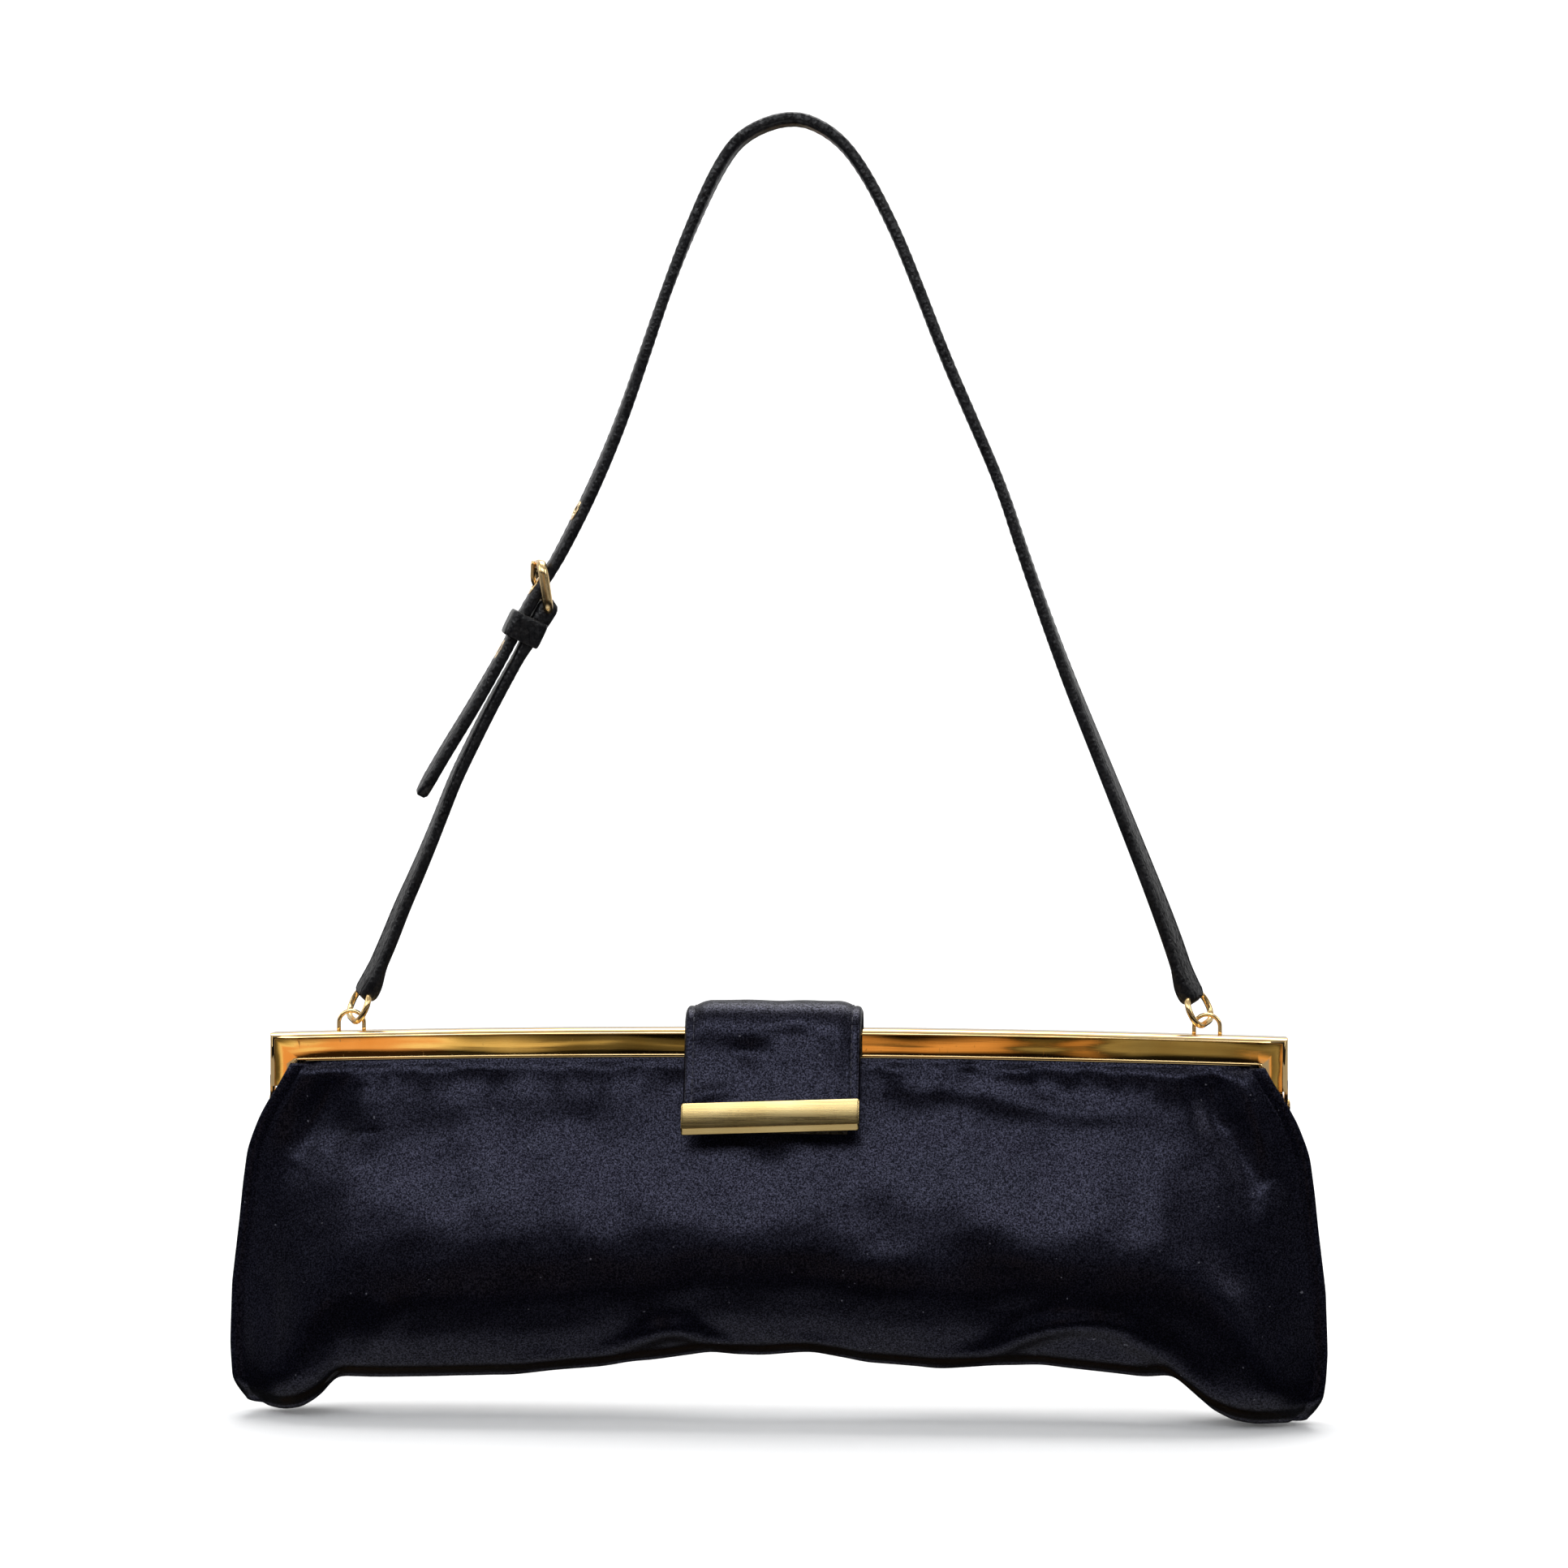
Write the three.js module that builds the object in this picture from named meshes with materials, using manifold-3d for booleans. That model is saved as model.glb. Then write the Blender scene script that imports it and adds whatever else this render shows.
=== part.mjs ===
// A satin frame clutch with a leather shoulder strap, in millimetres.
// +X is to the right, -Y is the front and +Z is up. The origin is on the resting plane,
// under the middle of the purse.
import * as THREE from 'three';
import { mergeVertices } from 'three/addons/utils/BufferGeometryUtils.js';
import Module from 'manifold-3d';

const wasm = await Module();
wasm.setup();

// ---------- driving dimensions ----------
const FRAME_WIDTH = 270;
const FRAME_TOP = 104; // top of the metal frame at the middle
const FRAME_CROWN = 2; // how much lower the frame's top is at its ends
const FRAME_FACE = 7.6; // height of the frame's front face
const FRAME_DEPTH = 4.65; // one half of the frame, front to back
const FRAME_WALL = 0.8;
const HALF_GAP = 0.15; // from the parting plane to each half
const FRAME_BEVEL = 1;
const HINGE_Z = 84;
const HINGE_HOLE = 1.1; // radius in the ears
const RIVET = { shaft: 0.9, head: 1.7, headLength: 0.6, inside: 2.8, outside: 0.8 };
const EAR_RADIUS = 3.2;
const REAR_EAR_INSET = 1.1; // the rear half's ears sit inside the front half's
const LEG_BOTTOM = HINGE_Z + EAR_RADIUS + 0.8; // the channel legs stop above the hinge ears
// The cords in the channels: half length, heights over the frame's lower edge, and depths.
const CORD = { half: 120, low: 0.6, high: 3.2, front: 2.75, back: 1.75 };
const SATIN_THICKNESS = 1;
const LINING_INSET = 1.4; // from the outside of the satin to the outside of the lining
const LINING_THICKNESS = 0.7;
const POCKET = { inset: 2.4, half: 60, bottom: 34, top: 74 };
const SEAM = 0.3; // gap between neighbouring pieces of cloth
const GUSSET_DEPTH = 5;
const GUSSET_FROM = 131;
const CLOTH_UNDER_FRAME = 0.5; // from the frame's lower edge down to the satin
const LINING_UNDER_FRAME = 1.6;
const LOOP_X = 114.2; // the wire loops on the frame
const STRAP_Y = 2.5; // the strap hangs from the rear half of the frame
const STRAP_WIDTH = 8.5;
const STRAP_THICKNESS = 3;
const FLAP_WIDTH = 46.8;
const FLAP_THICKNESS = 2.4;
const CLASP = { width: 46.8, height: 8.2, depth: 2.4, bevel: 0.8, tilt: 17, y: -15.4, z: 81 };
const CLASP_OUT = { bar: 2.9, plate: -1.9, magnet: -2.95 }; // from the middle of the flap's thickness
const STUD = { x: 17, radius: 0.8, length: 4.2, hole: 1.2 }; // the two studs behind the clasp bar
const BACK_PLATE = [40, 0.6, 7]; // across, through, up
const MAGNET_RADIUS = 5;
const PANEL_MAGNET = { y: -11.2, z: 80, tilt: 20 };
const LOOP = { half: 3.1, height: 5.3, wire: 0.55, corner: 1.6 };
const RING = { half: 5.4, rise: 4.1, corner: 2.2, wire: 0.95, lean: 25 };
const RING_BOTTOM = 3.15; // centre of the ring's lowest wire, over the frame's top
const RING_INWARD = 0.8; // from the loop's middle to the ring's lowest wire
const BUCKLE = { half: 5.95, across: 5.85, corner: 2.6, wire: 1.2, tilt: 8.7 };
const PRONG = { radius: 0.6, eye: 2, eyeHalf: 1.1 };
const EYELET = { inner: 1.5, barrel: 1.8, flange: 3, lip: 0.35, gap: 0.15 };
const EYELET_PITCH = 23;
const LAST_PITCH_SHARE = 0.84; // the last eyelet is a little closer
const PRONG_HOLE_X = -62.7;
const KEEPER_X = -69.1; // where the keeper sits on the long strap
// `apart` is the distance between the middles of the two straps in the keeper.
const KEEPER = { length: 7, wall: 0.9, spareThick: 0.85, spareWide: 0.35, apart: 3.85 };
const CLEARANCE = 0.2; // between a wire and what turns round it

const RAD = Math.PI / 180;
const FAR = 200; // beyond every piece
const HALF_WIDTH = FRAME_WIDTH / 2;
const SIDES = [-1, 1]; // left and right

// ---------- materials ----------
const finish = (color, roughness, metalness) =>
  new THREE.MeshStandardMaterial({ color, roughness, metalness });
const GOLD = finish(0xd9a04a, 0.12, 1);
const BRUSHED_GOLD = finish(0xd8b564, 0.34, 1);
const STEEL = finish(0x9a9a96, 0.35, 1);
const SATIN = finish(0x0b0b1c, 0.42, 0);
const LINING = finish(0x101014, 0.6, 0);
const COTTON = finish(0xb49a72, 0.9, 0);
const LEATHER = finish(0x15151a, 0.48, 0);

// ---------- solids ----------
function solid(geometry) {
  const bare = new THREE.BufferGeometry();
  const source = geometry.index ? geometry.toNonIndexed() : geometry;
  bare.setAttribute('position', source.getAttribute('position'));
  const merged = mergeVertices(bare, 1e-4);
  const mesh = new wasm.Mesh({
    numProp: 3,
    vertProperties: new Float32Array(merged.attributes.position.array),
    triVerts: new Uint32Array(merged.index.array),
  });
  return new wasm.Manifold(mesh);
}

function geometryOf(manifold) {
  const mesh = manifold.getMesh();
  const geometry = new THREE.BufferGeometry();
  geometry.setAttribute('position', new THREE.BufferAttribute(mesh.vertProperties, 3));
  geometry.setIndex(new THREE.BufferAttribute(mesh.triVerts, 1));
  geometry.computeVertexNormals();
  return geometry;
}

const join = (first, ...others) => others.reduce((made, other) => made.add(other), first);
const cut = (first, ...others) => others.reduce((made, other) => made.subtract(other), first);

function piece(name, shape, material) {
  const geometry = shape instanceof THREE.BufferGeometry ? shape : geometryOf(shape);
  const mesh = new THREE.Mesh(geometry, material);
  mesh.name = name;
  return mesh;
}

function shapeOf(points) {
  return new THREE.Shape(points.map(([x, y]) => new THREE.Vector2(x, y)));
}

// A shape drawn in (x, z), extruded from y0 back to y1.
function alongY(shape, y0, y1, options = {}) {
  const settings = { depth: y1 - y0, bevelEnabled: false, curveSegments: 8, ...options };
  const geometry = new THREE.ExtrudeGeometry(shape, settings);
  const basis = new THREE.Matrix4().makeBasis(
    new THREE.Vector3(1, 0, 0),
    new THREE.Vector3(0, 0, 1),
    new THREE.Vector3(0, -1, 0),
  );
  return solid(geometry.applyMatrix4(basis).translate(0, y1, 0));
}

// A shape drawn in (y, z), extruded from x0 to x1.
function alongX(shape, x0, x1, options = {}) {
  const settings = { depth: x1 - x0, bevelEnabled: false, curveSegments: 8, ...options };
  const geometry = new THREE.ExtrudeGeometry(shape, settings);
  const basis = new THREE.Matrix4().makeBasis(
    new THREE.Vector3(0, 1, 0),
    new THREE.Vector3(0, 0, 1),
    new THREE.Vector3(1, 0, 0),
  );
  return solid(geometry.applyMatrix4(basis).translate(x0, 0, 0));
}

function block([x0, x1], [y0, y1], [z0, z1]) {
  const geometry = new THREE.BoxGeometry(x1 - x0, y1 - y0, z1 - z0);
  return solid(geometry.translate((x0 + x1) / 2, (y0 + y1) / 2, (z0 + z1) / 2));
}

// A cylinder from one point to another.
function rod(from, to, radius, sides = 14) {
  const direction = to.clone().sub(from);
  const geometry = new THREE.CylinderGeometry(radius, radius, direction.length(), sides);
  const turn = new THREE.Quaternion().setFromUnitVectors(
    new THREE.Vector3(0, 1, 0),
    direction.clone().normalize(),
  );
  geometry.applyQuaternion(turn);
  return solid(geometry.translate(...from.clone().add(to).divideScalar(2)));
}

// ---------- metal frame ----------
const topAt = (x) => FRAME_TOP - FRAME_CROWN * (x / HALF_WIDTH) ** 2;

// The arch seen from the front: a crowned bar with a leg at each end. Its outer edges are inset by
// `inset` and its band is `band` wide.
function archShape(inset, band) {
  const outer = HALF_WIDTH - inset;
  const inner = HALF_WIDTH - band;
  const outerTop = topAt(HALF_WIDTH) - inset;
  const innerTop = topAt(HALF_WIDTH) - band;
  const shape = new THREE.Shape();
  shape.moveTo(-outer, LEG_BOTTOM);
  shape.lineTo(-inner, LEG_BOTTOM);
  shape.lineTo(-inner, innerTop);
  shape.quadraticCurveTo(0, innerTop + 2 * FRAME_CROWN, inner, innerTop);
  shape.lineTo(inner, LEG_BOTTOM);
  shape.lineTo(outer, LEG_BOTTOM);
  shape.lineTo(outer, outerTop);
  shape.quadraticCurveTo(0, outerTop + 2 * FRAME_CROWN, -outer, outerTop);
  return shape;
}

// Half of the frame, as the front half: a channel open towards the purse, with an ear at each leg.
function frameHalf(earOuter) {
  const front = -HALF_GAP - FRAME_DEPTH;
  const bevel = FRAME_BEVEL;
  const outside = alongY(archShape(0, FRAME_FACE), front + bevel, 2, {
    bevelEnabled: true,
    bevelThickness: bevel,
    bevelSize: bevel,
    bevelOffset: -bevel,
    bevelSegments: 1,
  });
  const channel = alongY(archShape(FRAME_WALL, FRAME_FACE + 2), front + FRAME_WALL, -HALF_GAP - FRAME_WALL);
  const below = block([-HALF_WIDTH, HALF_WIDTH], [front, 0], [0, LEG_BOTTOM + 0.6]);
  const behind = block([-FAR, FAR], [-HALF_GAP, FAR], [0, FAR]);
  const ears = SIDES.map((side) => ear(side, earOuter));
  const holes = SIDES.map((side) => hingeHole(side));
  const shell = cut(outside, behind, channel, below);
  return cut(join(shell, ...ears), ...holes);
}

// The ear of one leg: a plate across X that carries the hinge rivet.
function ear(side, outer) {
  const front = -HALF_GAP - FRAME_DEPTH;
  const shape = new THREE.Shape();
  shape.moveTo(front + 1, LEG_BOTTOM + 3);
  shape.lineTo(front + 1, HINGE_Z + 1.5);
  shape.quadraticCurveTo(front + 1.2, HINGE_Z - 2, -1.6, HINGE_Z - 2.8);
  shape.absarc(0, HINGE_Z, EAR_RADIUS, -120 * RAD, 90 * RAD, false);
  shape.lineTo(-HALF_GAP, LEG_BOTTOM + 0.5);
  shape.lineTo(-HALF_GAP, LEG_BOTTOM + 3);
  const inner = outer - FRAME_WALL;
  return side > 0 ? alongX(shape, inner, outer) : alongX(shape, -outer, -inner);
}

// A point on the hinge's axis, `out` beyond the side of the frame.
const onHinge = (side, out) => new THREE.Vector3(side * (HALF_WIDTH + out), 0, HINGE_Z);
const hingeHole = (side) => rod(onHinge(side, -3), onHinge(side, 2), HINGE_HOLE);

function hingeRivet(side) {
  const { inside, outside, headLength } = RIVET;
  const shaft = rod(onHinge(side, -inside), onHinge(side, outside - headLength / 2), RIVET.shaft);
  const innerHead = rod(onHinge(side, -inside), onHinge(side, headLength - inside), RIVET.head);
  const outerHead = rod(onHinge(side, outside - headLength), onHinge(side, outside), RIVET.head);
  return join(shaft, innerHead, outerHead);
}

// The flexible cord wedged into a channel behind the cloth, following the frame's crown.
function frameCord() {
  return crownBand(CORD.half, CORD.low - FRAME_FACE, CORD.high - FRAME_FACE, -CORD.front, -CORD.back);
}

// A band that follows the crown of the frame: from `low` to `high` measured from the frame's top.
function crownBand(half, low, high, y0, y1) {
  const end = topAt(half);
  const rise = 2 * (topAt(0) - end);
  const shape = new THREE.Shape();
  shape.moveTo(-half, end + low);
  shape.quadraticCurveTo(0, end + low + rise, half, end + low);
  shape.lineTo(half, end + high);
  shape.quadraticCurveTo(0, end + high + rise, -half, end + high);
  return alongY(shape, y0, y1);
}

// ---------- cloth body ----------
// Half the width, the depth from the parting plane, and the height of the hem, by position.
const HALF_WIDTH_BY_SHARE = [
  [0, 133], [0.04, 139], [0.1, 143.5], [0.18, 145], [0.38, 144.4], [0.56, 142.4],
  [0.75, 140.4], [0.84, 137], [0.93, 132], [1, 128.2],
];
const DEPTH_BY_SHARE = [
  [0, 4], [0.05, 10.5], [0.15, 17.5], [0.3, 21], [0.45, 20.3], [0.6, 17],
  [0.76, 11.2], [0.85, 8.6], [0.93, 7], [1, 6.2],
];
const HEM_BY_X = [
  [0, 18], [30, 17], [60, 15], [95, 12.5], [104, 10], [112, 5], [120, 0.5], [130, -1], [150, -1],
];
const EDGE_DEPTH = 6.2; // the side seams lie flatter than the belly

function interpolate(table, at) {
  const next = Math.max(1, table.findIndex(([key]) => key >= at));
  const [from, low] = table[next - 1];
  const [to, high] = table[next];
  return low + ((high - low) * (at - from)) / (to - from);
}

// The closed body of the purse, inset from its outside, up to `above` over the frame's lower edge.
function body(inset, above = 0) {
  const box = new THREE.BoxGeometry(2, 2, 1, 20, 2, 9).translate(0, 0, 0.5);
  const shaped = warp(box, ({ x: across, y: through, z: share }) => {
    const halfWidth = interpolate(HALF_WIDTH_BY_SHARE, share);
    const x = across * (halfWidth - inset);
    const edge = Math.min(EDGE_DEPTH, interpolate(DEPTH_BY_SHARE, share));
    const belly = interpolate(DEPTH_BY_SHARE, share) - edge;
    const depth = edge + belly * (1 - Math.abs(across) ** 6) - inset;
    const hem = interpolate(HEM_BY_X, Math.abs(across) * halfWidth) + 1.6 * inset;
    const top = topAt(x) - FRAME_FACE - CLOTH_UNDER_FRAME;
    const lift = share === 1 ? above : 0;
    return [x, through * depth, hem + share * (top - hem) + lift];
  });
  return solid(shaped);
}

function warp(geometry, map) {
  const position = geometry.getAttribute('position');
  const point = new THREE.Vector3();
  for (let index = 0; index < position.count; index += 1) {
    point.fromBufferAttribute(position, index);
    position.setXYZ(index, ...map(point));
  }
  return geometry;
}

const frontSide = block([-FAR, FAR], [-FAR, -SEAM / 2], [-FAR, FAR]);
const backSide = block([-FAR, FAR], [SEAM / 2, FAR], [-FAR, FAR]);
const sideStrip = (side, grow) =>
  block(
    [Math.min(side * (GUSSET_FROM - grow), side * FAR), Math.max(side * (GUSSET_FROM - grow), side * FAR)],
    [-GUSSET_DEPTH - grow, GUSSET_DEPTH + grow],
    [-FAR, FAR],
  );
// Room for the frame's legs and hinges inside the cloth.
const legRoom = (side) =>
  block(
    side > 0 ? [HALF_WIDTH - 9, HALF_WIDTH + 5] : [-HALF_WIDTH - 5, -HALF_WIDTH + 9],
    [-GUSSET_DEPTH - 0.1, GUSSET_DEPTH + 0.1],
    [HINGE_Z - 4.5, FAR],
  );
const legRooms = SIDES.map(legRoom);
const ground = block([-FAR, FAR], [-FAR, FAR], [-FAR, 0]);

const satinShell = cut(body(0), body(SATIN_THICKNESS, 3), ...legRooms, ground);
const aboveLining = crownBand(160, -FRAME_FACE - LINING_UNDER_FRAME, 5, -10, 10);
const liningShell = cut(
  body(LINING_INSET),
  body(LINING_INSET + LINING_THICKNESS, 3),
  aboveLining,
  ...legRooms,
);

// The top edge of a panel, folded under the frame's lip and up into its channel.
function clothTongue(shelfTop, thickness, outer, inner) {
  const shelf = crownBand(122, shelfTop - thickness, shelfTop, -outer, -inner);
  const tongue = crownBand(122, shelfTop - thickness, -3.4, -inner - thickness, -inner);
  return join(shelf, tongue);
}

const satinTongue = clothTongue(-FRAME_FACE - CLOTH_UNDER_FRAME, 0.8, 5.6, 2.95);
const liningTongue = clothTongue(-FRAME_FACE - LINING_UNDER_FRAME, 0.5, 4.5, 1.1);
const besideGussets = cut(satinShell, ...SIDES.map((side) => sideStrip(side, SEAM)));

const frontPanel = (shell, tongue) => join(shell.intersect(frontSide), tongue);
const rearPanel = (shell, tongue) => join(shell.intersect(backSide), solid(mirrorBack(tongue)));

function pocket() {
  const sheet = cut(body(POCKET.inset), body(POCKET.inset + LINING_THICKNESS, 3)).intersect(backSide);
  return sheet.intersect(block([-POCKET.half, POCKET.half], [0, FAR], [POCKET.bottom, POCKET.top]));
}

// ---------- flap ----------
const FLAP_LINE = new THREE.SplineCurve(
  [
    [10.3, 86], [9, 93], [7.6, 100], [6.2, 104.6], [3.4, 108.2], [-0.5, 109.4],
    [-4.8, 108], [-7.8, 104], [-9.4, 98], [-11.6, 91], [-14.4, 84], [-17.5, 74.6],
  ].map(([y, z]) => new THREE.Vector2(y, z)),
);
const FLAP_SPLIT = 0.3; // the share of the line that stays with the rear of the purse
const FLAP_SLIT = 0.012; // the share of the line left free at the split

// A padded strip that follows part of the flap's line.
function flapStrip(from, to) {
  const steps = 12;
  const outside = [];
  const inside = [];
  for (let step = 0; step <= steps; step += 1) {
    const at = from + ((to - from) * step) / steps;
    const point = FLAP_LINE.getPoint(at);
    const tangent = FLAP_LINE.getTangent(at);
    const aside = new THREE.Vector2(tangent.y, -tangent.x).multiplyScalar(FLAP_THICKNESS / 2);
    outside.push(point.clone().add(aside));
    inside.unshift(point.clone().sub(aside));
  }
  const round = 0.6;
  const shape = new THREE.Shape([...outside, ...inside]);
  return alongX(shape, -FLAP_WIDTH / 2 + round, FLAP_WIDTH / 2 - round, {
    bevelEnabled: true,
    bevelThickness: round,
    bevelSize: round,
    bevelOffset: -round,
    bevelSegments: 1,
  });
}

// A point at the clasp, `out` from the middle of the flap's thickness.
function claspPoint(x, out) {
  const tilt = CLASP.tilt * RAD;
  return new THREE.Vector3(x, CLASP.y - out * Math.cos(tilt), CLASP.z + out * Math.sin(tilt));
}

function atClasp(mesh, out) {
  mesh.position.copy(claspPoint(0, out));
  mesh.rotation.x = -CLASP.tilt * RAD;
  return mesh;
}

function claspBar() {
  const half = new THREE.Vector2(CLASP.width / 2, CLASP.height / 2);
  const shape = shapeOf([[-half.x, -half.y], [half.x, -half.y], [half.x, half.y], [-half.x, half.y]]);
  const bevel = CLASP.bevel;
  const face = alongY(shape, -CLASP.depth / 2 + bevel, CLASP.depth / 2 - bevel, {
    bevelEnabled: true,
    bevelThickness: bevel,
    bevelSize: bevel,
    bevelOffset: -bevel,
    bevelSegments: 1,
  });
  const studs = SIDES.map((side) => {
    const at = (y) => new THREE.Vector3(side * STUD.x, y, 0);
    return rod(at(0), at(STUD.length), STUD.radius, 12);
  });
  return join(face, ...studs);
}

const disc = (thickness) => new THREE.CylinderGeometry(MAGNET_RADIUS, MAGNET_RADIUS, thickness, 28);

// ---------- carrying hardware ----------
// A wire staple standing on the frame, modelled from its feet up.
function wireLoop() {
  const path = new THREE.CurvePath();
  const { corner, wire: foot } = LOOP;
  const at = (x, z) => new THREE.Vector3(x, 0, z);
  path.add(new THREE.LineCurve3(at(-LOOP.half, foot), at(-LOOP.half, LOOP.height - corner)));
  path.add(new THREE.QuadraticBezierCurve3(
    at(-LOOP.half, LOOP.height - corner), at(-LOOP.half, LOOP.height), at(-LOOP.half + corner, LOOP.height),
  ));
  path.add(new THREE.LineCurve3(at(-LOOP.half + corner, LOOP.height), at(LOOP.half - corner, LOOP.height)));
  path.add(new THREE.QuadraticBezierCurve3(
    at(LOOP.half - corner, LOOP.height), at(LOOP.half, LOOP.height), at(LOOP.half, LOOP.height - corner),
  ));
  path.add(new THREE.LineCurve3(at(LOOP.half, LOOP.height - corner), at(LOOP.half, foot)));
  const section = new THREE.Shape().absarc(0, 0, LOOP.wire, 0, 2 * Math.PI);
  return solid(new THREE.ExtrudeGeometry(section, { steps: 12, extrudePath: path, curveSegments: 5 }));
}

// A closed wire rounded rectangle in the local XY plane, with half sizes along X and Y.
function wireLink(halfX, halfY, corner, wire) {
  const sides = 20;
  const torus = new THREE.TorusGeometry(corner, wire, 8, sides).rotateZ(Math.PI / sides);
  return warp(torus, ({ x, y, z }) => [
    x + Math.sign(x) * (halfX - corner),
    y + Math.sign(y) * (halfY - corner),
    z,
  ]);
}

const loopFoot = (side) => new THREE.Vector3(side * LOOP_X, STRAP_Y, topAt(LOOP_X));
const ringUp = (side) => new THREE.Vector3(-side * Math.sin(RING.lean * RAD), 0, Math.cos(RING.lean * RAD));
const ringBottom = (side) => loopFoot(side).add(new THREE.Vector3(-side * RING_INWARD, 0, RING_BOTTOM));
const ringTop = (side) => ringBottom(side).addScaledVector(ringUp(side), 2 * RING.rise);
const ringCentre = (side) => ringBottom(side).addScaledVector(ringUp(side), RING.rise);

function ringGeometry(side, wire) {
  const link = wireLink(RING.rise, RING.half, RING.corner, wire);
  link.rotateY((90 - side * RING.lean) * RAD);
  return link.translate(...ringCentre(side));
}

// ---------- strap ----------
const STRAP_BASE = topAt(HALF_WIDTH); // heights along the strap are from the ends of the frame's top
const strapPoint = ([x, z]) => new THREE.Vector3(x, STRAP_Y, z + STRAP_BASE);
const strapCurve = (points) => new THREE.CatmullRomCurve3(points.map(strapPoint), false, 'centripetal');
const LONG_STRAP = strapCurve([
  [108.9, 12.9], [106.9, 20], [103.4, 30], [98.8, 42], [91.9, 59.3], [85, 76.5], [78, 93.7],
  [71.6, 111], [65.6, 128.2], [60, 145.5], [52.6, 162.7], [45.1, 179.9], [38.5, 197.2],
  [31.6, 214.4], [22.5, 231.7], [14.8, 240.3], [4.6, 244.6], [-8.2, 240.3], [-15, 231.7],
  [-23, 214.4], [-29.7, 197.2], [-35.6, 179.9], [-41.6, 162.7], [-48.9, 145.5], [-57.6, 128.2],
  [-62, 121.2], [-67, 113.1], [-71.4, 104.4], [-77.2, 94.2], [-82.6, 85.1], [-88, 76.5],
  [-93.1, 67.9], [-95.5, 63.5],
]);
const SHORT_STRAP = strapCurve([
  [-108.9, 12.9], [-107, 18], [-104, 24.8], [-100.6, 33.4], [-96.7, 42], [-93, 50.6],
  [-89.5, 59.3], [-86.1, 67.9], [-81.9, 76.5], [-77.6, 85.1], [-72.8, 93.9], [-67.3, 103.6],
  [-62.6, 111.6],
]);
const TIP_LENGTH = 6;

// A flat strap along a curve in the XZ plane, its width along Y, with a rounded tip at the far end.
function strapAlong(curve, steps, tipLength = 0) {
  const box = new THREE.BoxGeometry(STRAP_THICKNESS, STRAP_WIDTH, 1, 1, 1, steps);
  const length = curve.getLength();
  const shaped = warp(box, ({ x: out, y: across, z }) => {
    const along = z + 0.5;
    const reach = (1 - along) * length;
    const inset = Math.max(0, 1 - reach / (tipLength || 1));
    const narrow = tipLength ? Math.sqrt(1 - 0.9 * inset ** 2) : 1;
    const point = curve.getPointAt(along);
    const tangent = curve.getTangentAt(along);
    return [point.x + out * tangent.z, STRAP_Y + across * narrow, point.z - out * tangent.x];
  });
  return solid(shaped);
}

const acrossStrap = (centre, half) => [
  centre.clone().setY(STRAP_Y - half),
  centre.clone().setY(STRAP_Y + half),
];

// The leather folded round a wire that crosses the strap.
const foldRound = (centre, wire) => {
  const radius = wire + CLEARANCE + STRAP_THICKNESS / 2;
  return rod(...acrossStrap(centre, STRAP_WIDTH / 2), radius, 20);
};

// ---------- buckle ----------
const BUCKLE_CENTRE = strapPoint([-62.3, 119.4]);
const BUCKLE_UP = new THREE.Vector3(-Math.sin(BUCKLE.tilt * RAD), 0, Math.cos(BUCKLE.tilt * RAD));
const BUCKLE_OUT = new THREE.Vector3(-BUCKLE_UP.z, 0, BUCKLE_UP.x);
const HEEL = BUCKLE_CENTRE.clone().addScaledVector(BUCKLE_UP, -BUCKLE.half);
const FRONT_BAR = BUCKLE_CENTRE.clone().addScaledVector(BUCKLE_UP, BUCKLE.half);

function buckleGeometry(wire) {
  const link = wireLink(BUCKLE.half, BUCKLE.across, BUCKLE.corner, wire);
  return link.rotateY((90 - BUCKLE.tilt) * RAD).translate(...BUCKLE_CENTRE);
}

const heelHole = solid(buckleGeometry(BUCKLE.wire + CLEARANCE));

// The place on the long strap's free half that is nearest to x, as a share of the strap's length.
const alongNear = (x) => {
  let nearest = 0;
  for (let at = 0.5; at < 1; at += 0.0005) {
    const closer = Math.abs(LONG_STRAP.getPointAt(at).x - x) < Math.abs(LONG_STRAP.getPointAt(nearest).x - x);
    if (closer) nearest = at;
  }
  return nearest;
};
const PRONG_HOLE = alongNear(PRONG_HOLE_X);
const HOLE_PITCH = EYELET_PITCH / LONG_STRAP.getLength();
const HOLES = [PRONG_HOLE - HOLE_PITCH, PRONG_HOLE, PRONG_HOLE + HOLE_PITCH * LAST_PITCH_SHARE];

function throughStrap(at) {
  const tangent = LONG_STRAP.getTangentAt(at);
  return { centre: LONG_STRAP.getPointAt(at), normal: new THREE.Vector3(tangent.z, 0, -tangent.x) };
}

function strapHole(at, radius) {
  const { centre, normal } = throughStrap(at);
  const reach = normal.clone().multiplyScalar(4);
  return rod(centre.clone().sub(reach), centre.clone().add(reach), radius);
}

function eyeletMesh(name, at) {
  const top = STRAP_THICKNESS / 2 + EYELET.gap + EYELET.lip;
  const under = top - EYELET.lip;
  const profile = [
    [EYELET.inner, -top], [EYELET.flange, -top], [EYELET.flange, -under], [EYELET.barrel, -under],
    [EYELET.barrel, under], [EYELET.flange, under], [EYELET.flange, top], [EYELET.inner, top],
    [EYELET.inner, -top],
  ].map(([radius, height]) => new THREE.Vector2(radius, height));
  const mesh = piece(name, new THREE.LatheGeometry(profile, 16), GOLD.clone());
  const { centre, normal } = throughStrap(at);
  mesh.position.copy(centre);
  mesh.quaternion.setFromUnitVectors(new THREE.Vector3(0, 1, 0), normal);
  return mesh;
}

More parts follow.
